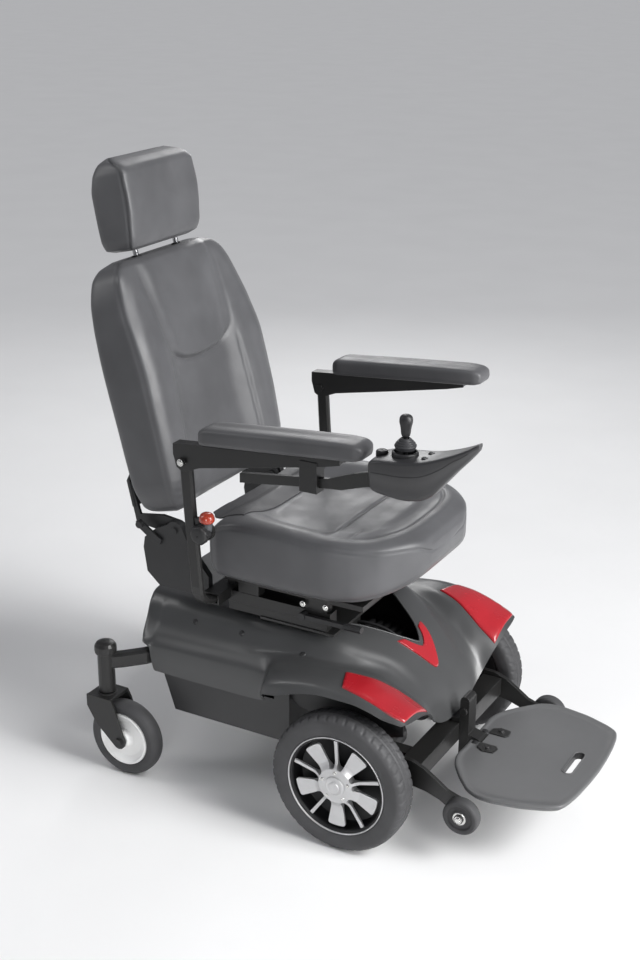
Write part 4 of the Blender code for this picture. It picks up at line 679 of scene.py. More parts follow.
def build_pads():
    rise = math.tan(math.radians(4.8))
    X = [-0.3300, -0.3250, -0.3080, -0.1500, -0.0150, 0.0200, 0.0360, 0.0410]
    W = [0.020, 0.0305, 0.0350, 0.0365, 0.0365, 0.0340, 0.0280, 0.0190]
    LO = [0.007, 0.001, 0.0, 0.0, 0.0, 0.0, 0.003, 0.009]
    HI = [0.025, 0.034, 0.0390, 0.0395, 0.0385, 0.0355, 0.0290, 0.0210]
    for s in (-1, 1):
        xs = end_stations(X, 96, 0.6)
        rings, count = [], 96
        for x in xs:
            base = 0.8282 + (x + 0.337) * rise
            w, lo, hi = float(curve(X, W, x)), float(curve(X, LO, x)), float(curve(X, HI, x))
            ring = super_ring(w, lo, hi, 0.44, count)
            rings.append(np.column_stack([np.full(count, x), ring[:, 0], ring[:, 1] + base]))
        R = np.array(rings)
        x, y, z = R[..., 0], R[..., 1], R[..., 2]
        base = 0.8282 + (x + 0.337) * rise
        lo, hi, w = curve(X, LO, x), curve(X, HI, x), curve(X, W, x)
        f = (z - base - lo) / (hi - lo)
        z = z - smooth(0.6, 1.0, f) * 0.0018 * np.exp(-((y / 0.014) ** 2)) * smooth(-0.33, -0.29, x) * (1 - smooth(-0.02, 0.03, x))
        y = y - np.sign(y) * smooth(0.8, 0.98, np.abs(y) / w) * groove((f - 0.16) * (hi - lo), 0.0016) * 0.0016
        R = np.stack([x, y + s * 0.278, z], -1)
        ob = closed_skin(R, f"arm_pad_cover_{SIDES[s]}", PAD, f"armrest_{SIDES[s]}")
        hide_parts(f"arm_pad_{SIDES[s]}")


build_seat_flap(build_seat_cushion())
build_back_cushion()
build_headrest()
build_pads()


# ==================================================================== shroud
def station(x, *pts):
    return [(p[2] if len(p) > 2 else x, p[0], p[1]) for p in pts]


SKIN = [
    station(-0.5600, (0, 0.3090), (0.085, 0.3090), (0.145, 0.3085, -0.5590), (0.170, 0.3080, -0.5570), (0.190, 0.3075, -0.5540), (0.212, 0.3070, -0.5490), (0.224, 0.3065, -0.5440), (0.230, 0.3060, -0.5400), (0.2310, 0.3055, -0.5370)),
    station(-0.5580, (0, 0.4000), (0.085, 0.4000), (0.148, 0.3960, -0.5570), (0.172, 0.3800, -0.5550), (0.194, 0.3470, -0.5520), (0.215, 0.3250, -0.5470), (0.2270, 0.3160, -0.5410), (0.2330, 0.3110, -0.5370), (0.2345, 0.3070, -0.5340)),
    station(-0.5490, (0, 0.4080), (0.088, 0.4080), (0.152, 0.4045, -0.5480), (0.179, 0.3890, -0.5460), (0.201, 0.3520, -0.5430), (0.222, 0.3275, -0.5380), (0.2330, 0.3180, -0.5330), (0.2370, 0.3120, -0.5290), (0.2375, 0.3060, -0.5260)),
    station(-0.5170, (0, 0.4080), (0.089, 0.4080), (0.154, 0.4045), (0.181, 0.3890), (0.203, 0.3510), (0.222, 0.3290), (0.2360, 0.3150), (0.2392, 0.3090), (0.2395, 0.3030)),
    station(-0.5020, (0, 0.4080), (0.090, 0.4080), (0.156, 0.4045), (0.183, 0.3890), (0.205, 0.3500), (0.222, 0.3290), (0.2370, 0.3060), (0.2400, 0.2760), (0.2400, 0.2480)),
    station(-0.4000, (0, 0.4080), (0.090, 0.4080), (0.158, 0.4045), (0.185, 0.3890), (0.205, 0.3520), (0.222, 0.3320), (0.2390, 0.3100), (0.2420, 0.2780), (0.2420, 0.2490)),
    station(-0.2700, (0, 0.4080), (0.090, 0.4080), (0.160, 0.4045), (0.187, 0.3890), (0.204, 0.3550), (0.222, 0.3380), (0.2400, 0.3150), (0.2440, 0.2800), (0.2440, 0.2510)),
    station(-0.2150, (0, 0.4080), (0.090, 0.4080), (0.161, 0.4045), (0.187, 0.3890), (0.203, 0.3580), (0.223, 0.3440), (0.2450, 0.3200), (0.2520, 0.2850), (0.2530, 0.2600)),
    station(-0.1950, (0, 0.4080), (0.090, 0.4080), (0.161, 0.4045), (0.186, 0.3895), (0.203, 0.3600), (0.226, 0.3470), (0.2580, 0.3380), (0.2850, 0.3180), (0.2920, 0.2980)),
    station(-0.1500, (0, 0.4080), (0.090, 0.4080), (0.161, 0.4050), (0.185, 0.3900), (0.202, 0.3620), (0.230, 0.3560), (0.2650, 0.3520), (0.2930, 0.3370), (0.3020, 0.3120)),
    station(-0.0900, (0, 0.4020), (0.085, 0.4030), (0.152, 0.3970), (0.177, 0.3830), (0.199, 0.3600), (0.232, 0.3640), (0.2680, 0.3620), (0.2940, 0.3520), (0.3040, 0.3340)),
    station(-0.0400, (0, 0.3860), (0.070, 0.3870), (0.132, 0.3800), (0.158, 0.3680), (0.184, 0.3530), (0.226, 0.3650), (0.2640, 0.3650), (0.2930, 0.3570), (0.3040, 0.3420)),
    station(0.0200, (0, 0.3560), (0.045, 0.3580), (0.098, 0.3540), (0.126, 0.3440), (0.156, 0.3360), (0.208, 0.3560), (0.2560, 0.3600), (0.2910, 0.3540), (0.3030, 0.3410)),
    station(0.0600, (0, 0.3180), (0.038, 0.3200), (0.082, 0.3200), (0.112, 0.3140), (0.142, 0.3120), (0.192, 0.3380), (0.2480, 0.3490), (0.2880, 0.3460), (0.3010, 0.3330)),
    station(0.0950, (0, 0.2680), (0.036, 0.2700), (0.076, 0.2740), (0.105, 0.2760), (0.132, 0.2840), (0.180, 0.3160), (0.2400, 0.3340), (0.2820, 0.3340), (0.2960, 0.3200)),
    station(0.1150, (0, 0.2280), (0.036, 0.2300), (0.075, 0.2370), (0.103, 0.2450), (0.128, 0.2600, 0.116), (0.175, 0.3000, 0.120), (0.2360, 0.3220, 0.124), (0.2780, 0.3240, 0.122), (0.2930, 0.3170, 0.118)),
    station(0.1240, (0, 0.2010), (0.036, 0.2030), (0.073, 0.2130), (0.099, 0.2270, 0.125), (0.124, 0.2440, 0.128), (0.171, 0.2860, 0.139), (0.2340, 0.3110, 0.144), (0.2750, 0.3160, 0.140), (0.2900, 0.3150, 0.130)),
]


def along(values, t, flat_start=False):
    """Monotone cubic through equally spaced values (last axis first), at array t."""
    v = np.asarray(values, float)
    t = np.asarray(t, float)
    d = np.diff(v, axis=0)
    m = np.zeros_like(v)
    m[0] = 0.0 if flat_start else d[0]
    m[-1] = d[-1]
    prod = d[:-1] * d[1:]
    m[1:-1] = np.where(prod <= 0, 0.0, 2 * prod / np.where(np.abs(d[:-1] + d[1:]) < 1e-12, 1.0, d[:-1] + d[1:]))
    i = np.clip(t.astype(int), 0, len(v) - 2)
    f = (t - i).reshape((-1,) + (1,) * (v.ndim - 1))
    return ((2 * f**3 - 3 * f**2 + 1) * v[i] + (f**3 - 2 * f**2 + f) * m[i] + (-2 * f**3 + 3 * f**2) * v[i + 1] + (f**3 - f**2) * m[i + 1])


def skin_grid(us, vs):
    """The shroud's outer face: grid of points, half the width."""
    S = np.array(SKIN)                                   # station, across, xyz
    out = []
    for axis in range(3):
        g = along(S[:, :, axis].T, vs, axis == 2)         # across dense, station
        g = along(g.T, us)                               # station dense, across dense
        out.append(g)
    return np.stack(out, -1)


def boolean(ob, cutters, operation="DIFFERENCE"):
    for c in cutters:
        mod = ob.modifiers.new("b", "BOOLEAN")
        mod.operation = operation
        mod.solver = "EXACT"
        mod.object = c
    bpy.context.view_layer.update()
    graph = bpy.context.evaluated_depsgraph_get()
    mesh = bpy.data.meshes.new_from_object(ob.evaluated_get(graph))
    ob.modifiers.clear()
    old = ob.data
    ob.data = mesh
    bpy.data.meshes.remove(old)
    for c in cutters:
        bpy.data.objects.remove(c, do_unlink=True)
    return ob


def prism(outline, lo, hi, axis="Z"):
    """Plain cutter through an outline."""
    def at(p, h):
        return {"Z": (p[0], p[1], h), "Y": (p[0], h, p[1]), "X": (h, p[0], p[1])}[axis]
    n = len(outline)
    verts = [at(p, lo) for p in outline] + [at(p, hi) for p in outline]
    faces = [tuple(range(n))[::-1], tuple(range(n, 2 * n))] + [(i, (i + 1) % n, n + (i + 1) % n, n + i) for i in range(n)]
    return mesh_object("cutter", verts, faces, BLACK, None, 0)


def smooth_outline(points, per=8, closed=True):
    """Catmull-Rom through points."""
    p = np.asarray(points, float)
    n = len(p)
    out = []
    for i in range(n if closed else n - 1):
        a, b, c, d = (p[(i - 1) % n], p[i], p[(i + 1) % n], p[(i + 2) % n]) if closed else (p[max(i - 1, 0)], p[i], p[i + 1], p[min(i + 2, n - 1)])
        for k in range(per):
            t = k / per
            out.append(0.5 * (2 * b + (c - a) * t + (2 * a - 5 * b + 4 * c - d) * t * t + (3 * b - a - 3 * c + d) * t**3))
    if not closed:
        out.append(p[-1])
    return np.array(out)


def chaikin(p, times):
    for _ in range(times):
        q = np.roll(p, -1, 0)
        p = np.stack([0.75 * p + 0.25 * q, 0.25 * p + 0.75 * q], 1).reshape(-1, p.shape[1])
    return p


def tidy(ob, mat, angle=35):
    ob.data.materials.clear()
    ob.data.materials.append(mat)
    for poly in ob.data.polygons:
        poly.material_index = 0
    ob.data.shade_smooth()
    ob.data.set_sharp_from_angle(angle=math.radians(angle))
    return ob


def full_grid():
    us = np.linspace(0, len(SKIN) - 1, 129)
    vs = np.linspace(0, 8, 73)
    half = skin_grid(us, vs)
    mirror = half[:, 1:][:, ::-1] * np.array([1, -1, 1])
    return np.concatenate([mirror, half], axis=1)


GRID = full_grid()
nr, nc = GRID.shape[:2]
SKIN_BVH = BVHTree.FromPolygons([Vector(p) for p in GRID.reshape(-1, 3)], grid_faces(nr, nc, wrap=False))


def on_skin(x, y):
    hit, normal, _, _ = SKIN_BVH.ray_cast(Vector((x, y, 1.0)), Vector((0, 0, -1)))
    if hit is None:
        hit, normal, _, _ = SKIN_BVH.find_nearest(Vector((x, y, 0.33)))
    if normal.z < 0:
        normal = -normal
    return np.array(hit), np.array(normal)


LEAF = [(-0.340, 0.150), (-0.290, 0.151), (-0.166, 0.133), (-0.100, 0.102), (-0.050, 0.070), (-0.005, 0.040), (0.020, 0.016), (0.030, 0.0)]


def leaf_outline():
    side = smooth_outline(LEAF[1:], 6, closed=False)
    side = [tuple(p) for p in side]
    corner = [(-0.340, 0.132), (-0.3385, 0.141), (-0.333, 0.1475), (-0.324, 0.1505)]
    right = corner + side
    return right + [(x, -y) for x, y in reversed(right[:-1])]


def build_shroud():
    m, n = GRID.shape[:2]
    du = np.gradient(GRID, axis=0)
    dv = np.gradient(GRID, axis=1)
    nrm = np.cross(du, dv)
    nrm /= np.maximum(np.linalg.norm(nrm, axis=-1, keepdims=True), 1e-12)
    mid = nrm[m // 2, n // 2]
    if mid[2] < 0:
        nrm = -nrm
    inner = GRID - nrm * 0.003
    verts = np.vstack([GRID.reshape(-1, 3), inner.reshape(-1, 3)])
    tot = m * n
    faces = []
    for f in grid_faces(m, n, wrap=False):
        faces.append(f)
        faces.append(tuple(tot + i for i in reversed(f)))
    rim = [k for k in range(n)] + [i * n + n - 1 for i in range(1, m)] + [(m - 1) * n + k for k in range(n - 2, -1, -1)] + [i * n for i in range(m - 2, 0, -1)]
    for i, a in enumerate(rim):
        b = rim[(i + 1) % len(rim)]
        faces.append((a, b, tot + b, tot + a))
    ob = mesh_object("shroud_shell", verts, faces, SHROUD, None, 0)
    cutter = prism(leaf_outline(), 0.330, 0.450)
    boolean(ob, [cutter])
    tidy(ob, SHROUD, 40)
    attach(ob, "base")
    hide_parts("base_shroud")
    # Rolled edge round the deck opening.
    pts = []
    for x, y in leaf_outline():
        p, nv = on_skin(x, y)
        pts.append(p + nv * 0.0008)
    tube("shroud_rim", pts, 0.0022, SHROUD, "base", 8, closed=True)
    # Push fasteners.
    for x, y in ((-0.146, 0.200), (-0.420, 0.196), (-0.470, 0.120), (-0.300, 0.196)):
        for s in (-1, 1):
            p, nv = on_skin(x, s * y)
            lathe(f"shroud_clip_{SIDES[s]}_{int(-x * 1000)}", rounded_profile([(0.0006, -0.0015), (0.0068, -0.0015), (0.0068, 0.0006), (0.0040, 0.0022), (0.0006, 0.0026)], 0.0006, 2), p, nv, 20, BLACK, "base")


def strip(name, inner, outer, lift, thick, mat, node, rows=70, across=12):
    """Moulding that lies on the skin between two plan curves."""
    inner = smooth_outline(inner, 10, closed=False)
    outer = smooth_outline(outer, 10, closed=False)

    def even(c):
        seg = np.linalg.norm(np.diff(c, axis=0), axis=1)
        t = np.concatenate([[0], np.cumsum(seg)])
        at = np.linspace(0, t[-1], rows)
        return np.stack([np.interp(at, t, c[:, k]) for k in range(2)], 1)

    a, b = even(inner), even(outer)
    rings = []
    for i in range(rows):
        end = min(1.0, (min(i, rows - 1 - i) + 0.35) / 3.0)
        top, low = [], []
        for k in range(across):
            f = k / (across - 1)
            g = 0.5 - 0.5 * math.cos(math.pi * f)
            p, nv = on_skin(*(a[i] + (b[i] - a[i]) * g))
            edge = (1 - abs(2 * f - 1) ** 5) ** 0.5 if 0 < f < 1 else 0.0
            top.append(p + nv * (lift * 0.3 + (lift * 0.7 + thick) * edge * math.sqrt(max(0.0, 1 - (1 - end) ** 2))))
            low.append(p + nv * (-0.0006))
        rings.append(top + low[::-1])
    ob = closed_skin(np.array(rings), name, mat, "base", 60)
    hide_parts(node)


def build_trims():
    for s in (-1, 1):
        inner = [(-0.028, 0.2275), (0.005, 0.2170), (0.045, 0.2010), (0.085, 0.1860), (0.115, 0.1790), (0.134, 0.1755)]
        outer = [(-0.008, 0.2820), (0.016, 0.2850), (0.050, 0.2870), (0.088, 0.2870), (0.117, 0.2850), (0.133, 0.2800)]
        strip(f"fender_moulding_{SIDES[s]}", [(x, s * y) for x, y in inner], [(x, s * y) for x, y in outer], 0.0010, 0.0026, RED, f"fender_trim_{SIDES[s]}")
    outer = [(0.004, -0.056), (0.030, -0.046), (0.052, -0.030), (0.070, -0.012), (0.0745, 0.0), (0.070, 0.012), (0.052, 0.030), (0.030, 0.046), (0.004, 0.056)]
    inner = [(0.008, -0.036), (0.022, -0.026), (0.033, -0.013), (0.037, -0.004), (0.0375, 0.0), (0.037, 0.004), (0.033, 0.013), (0.022, 0.026), (0.008, 0.036)]
    strip("nose_moulding", inner, outer, 0.0008, 0.0026, RED, "nose_trim", 60, 12)


build_shroud()
build_trims()


# ==================================================================== wheels
DRIVE_Y, DRIVE_R, CASTER_Y = 0.2915, 0.153, 0.282
CASTER = (-0.553, 0.089)


def dense(profile, step):
    """Closed profile resampled to short, even steps."""
    p = np.asarray(profile + [profile[0]], float)
    seg = np.linalg.norm(np.diff(p, axis=0), axis=1)
    t = np.concatenate([[0], np.cumsum(seg)])
    at = np.linspace(0, t[-1], max(8, int(t[-1] / step)), endpoint=False)
    return [(float(np.interp(q, t, p[:, 0])), float(np.interp(q, t, p[:, 1]))) for q in at]


def build_drive_wheel(s):
    side = SIDES[s]
    body = f"drive_wheel_{side}"
    where, out = (0, s * DRIVE_Y, DRIVE_R), (0, s, 0)
    prof = [(0.1113, -0.0285), (0.1150, -0.0318), (0.1290, -0.0330), (0.1420, -0.0322), (0.1500, -0.0275), (0.1528, -0.0190), (0.1533, -0.0060), (0.1533, 0.0060), (0.1528, 0.0190), (0.1500, 0.0275), (0.1420, 0.0322), (0.1290, 0.0330), (0.1150, 0.0318), (0.1113, 0.0300)]
    prof = dense(rounded_profile(prof, 0.004, 3), 0.0019)

    def tread(a, i, r, h):
        if r < 0.134:
            # Moulded lines round the sidewall.
            return np.full_like(a, -0.0006 if 0.1275 < r < 0.1300 and abs(h) > 0.03 else 0.0)
        blocks = 44
        phase = (a * blocks / (2 * math.pi) + (0.0 if h > 0 else 0.5) + 14.0 * abs(h)) % 1.0
        cut = np.clip((0.15 - np.abs(phase - 0.5)) / 0.05, 0, 1)
        outer = np.clip((abs(h) - 0.0100) / 0.0022, 0, 1)
        depth = 0.0022 * np.clip((r - 0.1450) / 0.005, 0, 1)
        mid = np.clip((0.0052 - abs(abs(h) - 0.0085) * 3.4) / 0.0030, 0, 1) * 0.0022
        sipe = np.clip((0.10 - np.abs(((a * 88 / (2 * math.pi)) % 1.0) - 0.5)) / 0.04, 0, 1) * np.clip((0.0055 - abs(h)) / 0.002, 0, 1) * 0.0010
        return -(cut * outer * depth + mid * (r > 0.149) + sipe * (r > 0.149))

    tyre = lathe(f"drive_tyre_mould_{side}", prof, where, out, 396, TYRE, body, radial=tread, angle=50)
    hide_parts(f"drive_tyre_{side}")
    fr = frame_at(where, out)
    # Dark barrel and dust shield behind a silver star, with a thin bright lip.
    barrel = [(0.1110, -0.0283), (0.1110, 0.0285), (0.1078, 0.0298), (0.1050, 0.0290), (0.1024, 0.0235), (0.1000, 0.0060), (0.0980, -0.0060), (0.0300, -0.0085), (0.0132, -0.0085), (0.0132, -0.0108), (0.0960, -0.0108), (0.1045, -0.0150), (0.1055, -0.0283)]
    rim = lathe(f"drive_barrel_{side}", rounded_profile(barrel, 0.0012, 2), where, out, 120, BARREL, body)
    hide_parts(f"drive_rim_{side}")
    lip = lathe(f"drive_rim_lip_{side}", rounded_profile([(0.1112, 0.0283), (0.1112, 0.0320), (0.1096, 0.0326), (0.1086, 0.0314), (0.1084, 0.0283)], 0.0009, 3), where, out, 144, ALLOY, body)
    star = [(0.0132, 0.0100), (0.0132, 0.0322), (0.0260, 0.0322), (0.0390, 0.0306), (0.0460, 0.0258), (0.0540, 0.0226), (0.0900, 0.0246), (0.1030, 0.0262), (0.1030, 0.0215), (0.0900, 0.0196), (0.0560, 0.0170), (0.0420, 0.0110)]
    face = lathe(f"drive_star_{side}", rounded_profile(star, 0.0020, 3), where, out, 180, ALLOY, None)
    cutters = []
    for k in range(5):
        mid = 55.3 + 72 * k

        def pol(r, t):
            return (r * math.cos(math.radians(mid + t)), r * math.sin(math.radians(mid + t)))

        ring = [pol(0.1060, t) for t in np.linspace(-33.9, 33.9, 23)]
        arm = [pol(0.0400, 31.8), pol(0.0380, 24.0), pol(0.0400, 15.6), pol(0.0660, 13.6), pol(0.0925, 12.4)]
        tip = [pol(0.0955, t) for t in np.linspace(10.6, -10.6, 9)]
        arm2 = [(pol(0.0925, -12.4)), pol(0.0660, -13.6), pol(0.0400, -15.6), pol(0.0380, -24.0), pol(0.0400, -31.8)]
        pts = rounded_profile(ring + arm + tip + arm2, 0.0022, 3)
        n = len(pts)
        lo = [fr @ Vector((x, y, -0.005)) for x, y in pts]
        hi = [fr @ Vector((x, y, 0.05)) for x, y in pts]
        faces = [tuple(range(n))[::-1], tuple(range(n, 2 * n))] + [(i, (i + 1) % n, n + (i + 1) % n, n + i) for i in range(n)]
        cutters.append(mesh_object("cutter", lo + hi, faces, BLACK, None, 0))
    boolean(face, cutters)
    tidy(face, ALLOY, 30)
    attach(face, body)
    back = -(DRIVE_Y - 0.2085)
    hub = lathe(f"drive_hub_cap_{side}", rounded_profile([(0.0004, back), (0.0122, back), (0.0122, 0.0324), (0.0228, 0.0324), (0.0222, 0.0356), (0.0170, 0.0364), (0.0150, 0.0352), (0.0118, 0.0352), (0.0112, 0.0378), (0.0004, 0.0378)], 0.0007, 2), where, out, 72, ALLOY, body)
    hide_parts(f"drive_hub_{side}")
    # Five rim bolts round the hub.
    for k in range(5):
        a = math.radians(19.3 + 72 * k)
        c = fr @ Vector((0.0305 * math.cos(a), 0.0305 * math.sin(a), 0.0312))
        bolt(f"wheel_bolt_{side}_{k}", c, out, 0.0034, 0.0026, body)


def build_caster(s):
    side = SIDES[s]
    where, out = (CASTER[0], s * CASTER_Y, CASTER[1]), (0, s, 0)
    body = f"caster_wheel_{side}"
    prof = [(0.0625, -0.0172), (0.0690, -0.0198), (0.0800, -0.0200), (0.0860, -0.0150), (0.0886, -0.0070), (0.0890, 0.0), (0.0886, 0.0070), (0.0860, 0.0150), (0.0800, 0.0200), (0.0690, 0.0198), (0.0625, 0.0172)]
    prof = dense(rounded_profile(prof, 0.004, 4), 0.0020)

    def line(a, i, r, h):
        return np.full_like(a, -0.0009 if 0.0800 < r < 0.0822 and abs(h) > 0.015 else 0.0)

    tyre = lathe(f"caster_tyre_mould_{side}", prof, where, out, 120, TYRE, body, radial=line, angle=55)
    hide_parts(f"caster_tyre_{side}")
    rim = [(0.0622, -0.0180), (0.0622, 0.0180), (0.0570, 0.0192), (0.0540, 0.0150), (0.0440, 0.0082), (0.0240, 0.0100), (0.0165, 0.0220), (0.0145, 0.0232), (0.0067, 0.0232), (0.0067, -0.0232), (0.0145, -0.0232), (0.0165, -0.0220), (0.0240, -0.0100), (0.0440, -0.0082), (0.0540, -0.0150), (0.0570, -0.0192)]
    rm = lathe(f"caster_rim_mould_{side}", rounded_profile(rim, 0.0016, 3), where, out, 96, WHITE, body)
    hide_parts(f"caster_rim_{side}")


def build_antitip(s):
    side = SIDES[s]
    where, out = (0.249, s * 0.242, 0.118), (0, s, 0)
    prof = [(0.0066, -0.0125), (0.0150, -0.0130), (0.0180, -0.0090), (0.0250, -0.0090), (0.0275, -0.0130), (0.0350, -0.0130), (0.0382, -0.0098), (0.0390, 0.0), (0.0382, 0.0098), (0.0350, 0.0130), (0.0275, 0.0130), (0.0250, 0.0090), (0.0180, 0.0090), (0.0150, 0.0130), (0.0066, 0.0130)]
    w = lathe(f"antitip_mould_{side}", rounded_profile(prof, 0.0018, 3), where, out, 72, TYRE, f"antitip_{side}")
    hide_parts(f"antitip_wheel_{side}")
    hub = lathe(f"antitip_hub_{side}", rounded_profile([(0.0070, 0.0070), (0.0145, 0.0070), (0.0145, 0.0134), (0.0120, 0.0142), (0.0070, 0.0142)], 0.0006, 2), where, out, 40, ZINC, f"antitip_{side}")
    bolt(f"antitip_bolt_{side}", (0.249, s * 0.2600, 0.118), out, 0.0062, 0.0040, "base")


for s in (-1, 1):
    build_drive_wheel(s)
    build_caster(s)
    build_antitip(s)


# ================================================================= footplate
def build_footplate():
    hx, hz, top = 0.181, 0.149, 0.158
    half = [(0.1680, 0.0), (0.1680, 0.0500), (0.1660, 0.0900), (0.1760, 0.1220), (0.2060, 0.1650), (0.2400, 0.2030), (0.2620, 0.2140), (0.2900, 0.2160), (0.3550, 0.2050), (0.4100, 0.1840), (0.4320, 0.1690), (0.4395, 0.1480), (0.4455, 0.1100), (0.4500, 0.0550), (0.4520, 0.0)]
    outline = half + [(x, -y) for x, y in reversed(half[1:-1])]
    o = np.array(rounded_profile(outline, 0.016, 6))
    o = chaikin(o, 1)
    # Even spacing, then inset rings by the outline's own normal.
    q = np.vstack([o, o[:1]])
    seg = np.linalg.norm(np.diff(q, axis=0), axis=1)
    t = np.concatenate([[0], np.cumsum(seg)])
    n = 300
    at = np.linspace(0, t[-1], n, endpoint=False)
    o = np.stack([np.interp(at, t, q[:, k]) for k in range(2)], 1)
    tan = np.roll(o, -2, 0) - np.roll(o, 2, 0)
    tan /= np.linalg.norm(tan, axis=1, keepdims=True)
    nor = np.stack([-tan[:, 1], tan[:, 0]], 1)
    if np.dot(nor[0], np.array([0.3, 0]) - o[0]) < 0:
        nor = -nor
    skirt = 0.141
    levels = [(0.0125, skirt), (0.0105, skirt), (0.0092, skirt + 0.0008), (0.0040, top - 0.0100), (0.0012, top - 0.0085), (0.0, top - 0.0070), (0.0, top - 0.0034), (0.0005, top - 0.0020), (0.0016, top - 0.0008), (0.0034, top - 0.0001), (0.0055, top)]
    rings = [np.column_stack([o + nor * d, np.full(n, z)]) for d, z in levels]
    rings += [np.column_stack([o + nor * 0.0095, np.full(n, top)]), np.column_stack([o + nor * 0.0110, np.full(n, top - 0.0010)])]
    c = np.array([0.300, 0.0])
    for f in (0.87, 0.6, 0.3, 0.02):
        rings.append(np.column_stack([c + (o - c) * f, np.full(n, top - 0.0010)]))
    # Underside, hollow above the skirt.
    low = [np.column_stack([o + nor * 0.0134, np.full(n, skirt + 0.0006)]), np.column_stack([o + nor * 0.0140, np.full(n, top - 0.0068)])]
    for f in (0.84, 0.5, 0.02):
        low.append(np.column_stack([c + (o - c) * f, np.full(n, top - 0.0068)]))
    rings = low[::-1] + rings
    ob = closed_skin(np.array(rings), "footplate_mould", PLATE, None, 0)
    slot = []
    for k in range(40):
        a = 2 * math.pi * k / 40
        slot.append((0.396 + 0.0098 * math.cos(a), (0.0352 if math.sin(a) > 0 else -0.0352) + 0.0098 * math.sin(a)))
    cutters = [prism(slot, 0.10, 0.20), prism([(0.150, -0.0205), (0.1945, -0.0205), (0.1945, 0.0205), (0.150, 0.0205)], 0.10, 0.20)]
    boolean(ob, cutters)
    tidy(ob, PLATE, 38)
    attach(ob, "footplate")
    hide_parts("footplate")
    for e in (-1, 1):
        lathe(f"footplate_lug_{'b' if e > 0 else 'a'}", rounded_profile([(0.0050, 0.0212), (0.0110, 0.0212), (0.0110, 0.0330), (0.0050, 0.0330)], 0.0008, 2), (hx, 0, hz), (0, e, 0), 36, BLACK, "footplate")
        bolt(f"footplate_bolt_{'b' if e > 0 else 'a'}", (hx, e * 0.0330, hz), (0, e, 0), 0.0070, 0.0055, "footplate")
        ear = prism([(0.1925, e * 0.0225), (0.2300, e * 0.0225), (0.2360, e * 0.0300), (0.2330, e * 0.0500), (0.2100, e * 0.0540), (0.1945, e * 0.0440)][::e], top - 0.0014, top + 0.0016)
        tidy(ear, STEEL, 30)
        ear.name = f"footplate_bracket_{'b' if e > 0 else 'a'}"
        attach(ear, "footplate")
        bolt(f"bracket_bolt_{'b' if e > 0 else 'a'}", (0.2150, e * 0.0390, top + 0.0015), (0, 0, 1), 0.0062, 0.0042, "footplate", STEEL)
    lathe("footplate_pin", [(0.0002, -0.0330), (0.0046, -0.0330), (0.0046, 0.0330), (0.0002, 0.0330)], (hx, 0, hz), (0, 1, 0), 20, ZINC, "footplate")
    # Walls of the finger slot, and the raised rim round it.
    sleeve = []
    for x, y in slot:
        cx, cy = 0.396, math.copysign(0.0352, y)
        ux, uy = (x - cx) / 0.0098, (y - cy) / 0.0098
        sleeve.append([(x - ux * 0.0002, y - uy * 0.0002, top - 0.0009), (x + ux * 0.0030, y + uy * 0.0030, top - 0.0009), (x + ux * 0.0030, y + uy * 0.0030, skirt + 0.0010), (x - ux * 0.0002, y - uy * 0.0002, skirt + 0.0010)])
    sleeve = np.array(sleeve + sleeve[:1])
    wall = mesh_object("footplate_slot_wall", sleeve.reshape(-1, 3), grid_faces(len(sleeve), 4), BLACK, "footplate", 30)
    ring = [(0.396 + 0.0116 * math.cos(2 * math.pi * k / 60), (0.0352 if math.sin(2 * math.pi * k / 60) > 0 else -0.0352) + 0.0116 * math.sin(2 * math.pi * k / 60), top - 0.0010) for k in range(60)]
    tube("footplate_slot_rim", ring, 0.0014, PLATE, "footplate", 8, closed=True)


build_footplate()


# ================================================================== joystick
ARM_Y = 0.285
STICK = (0.1215, -0.285, 0.905)


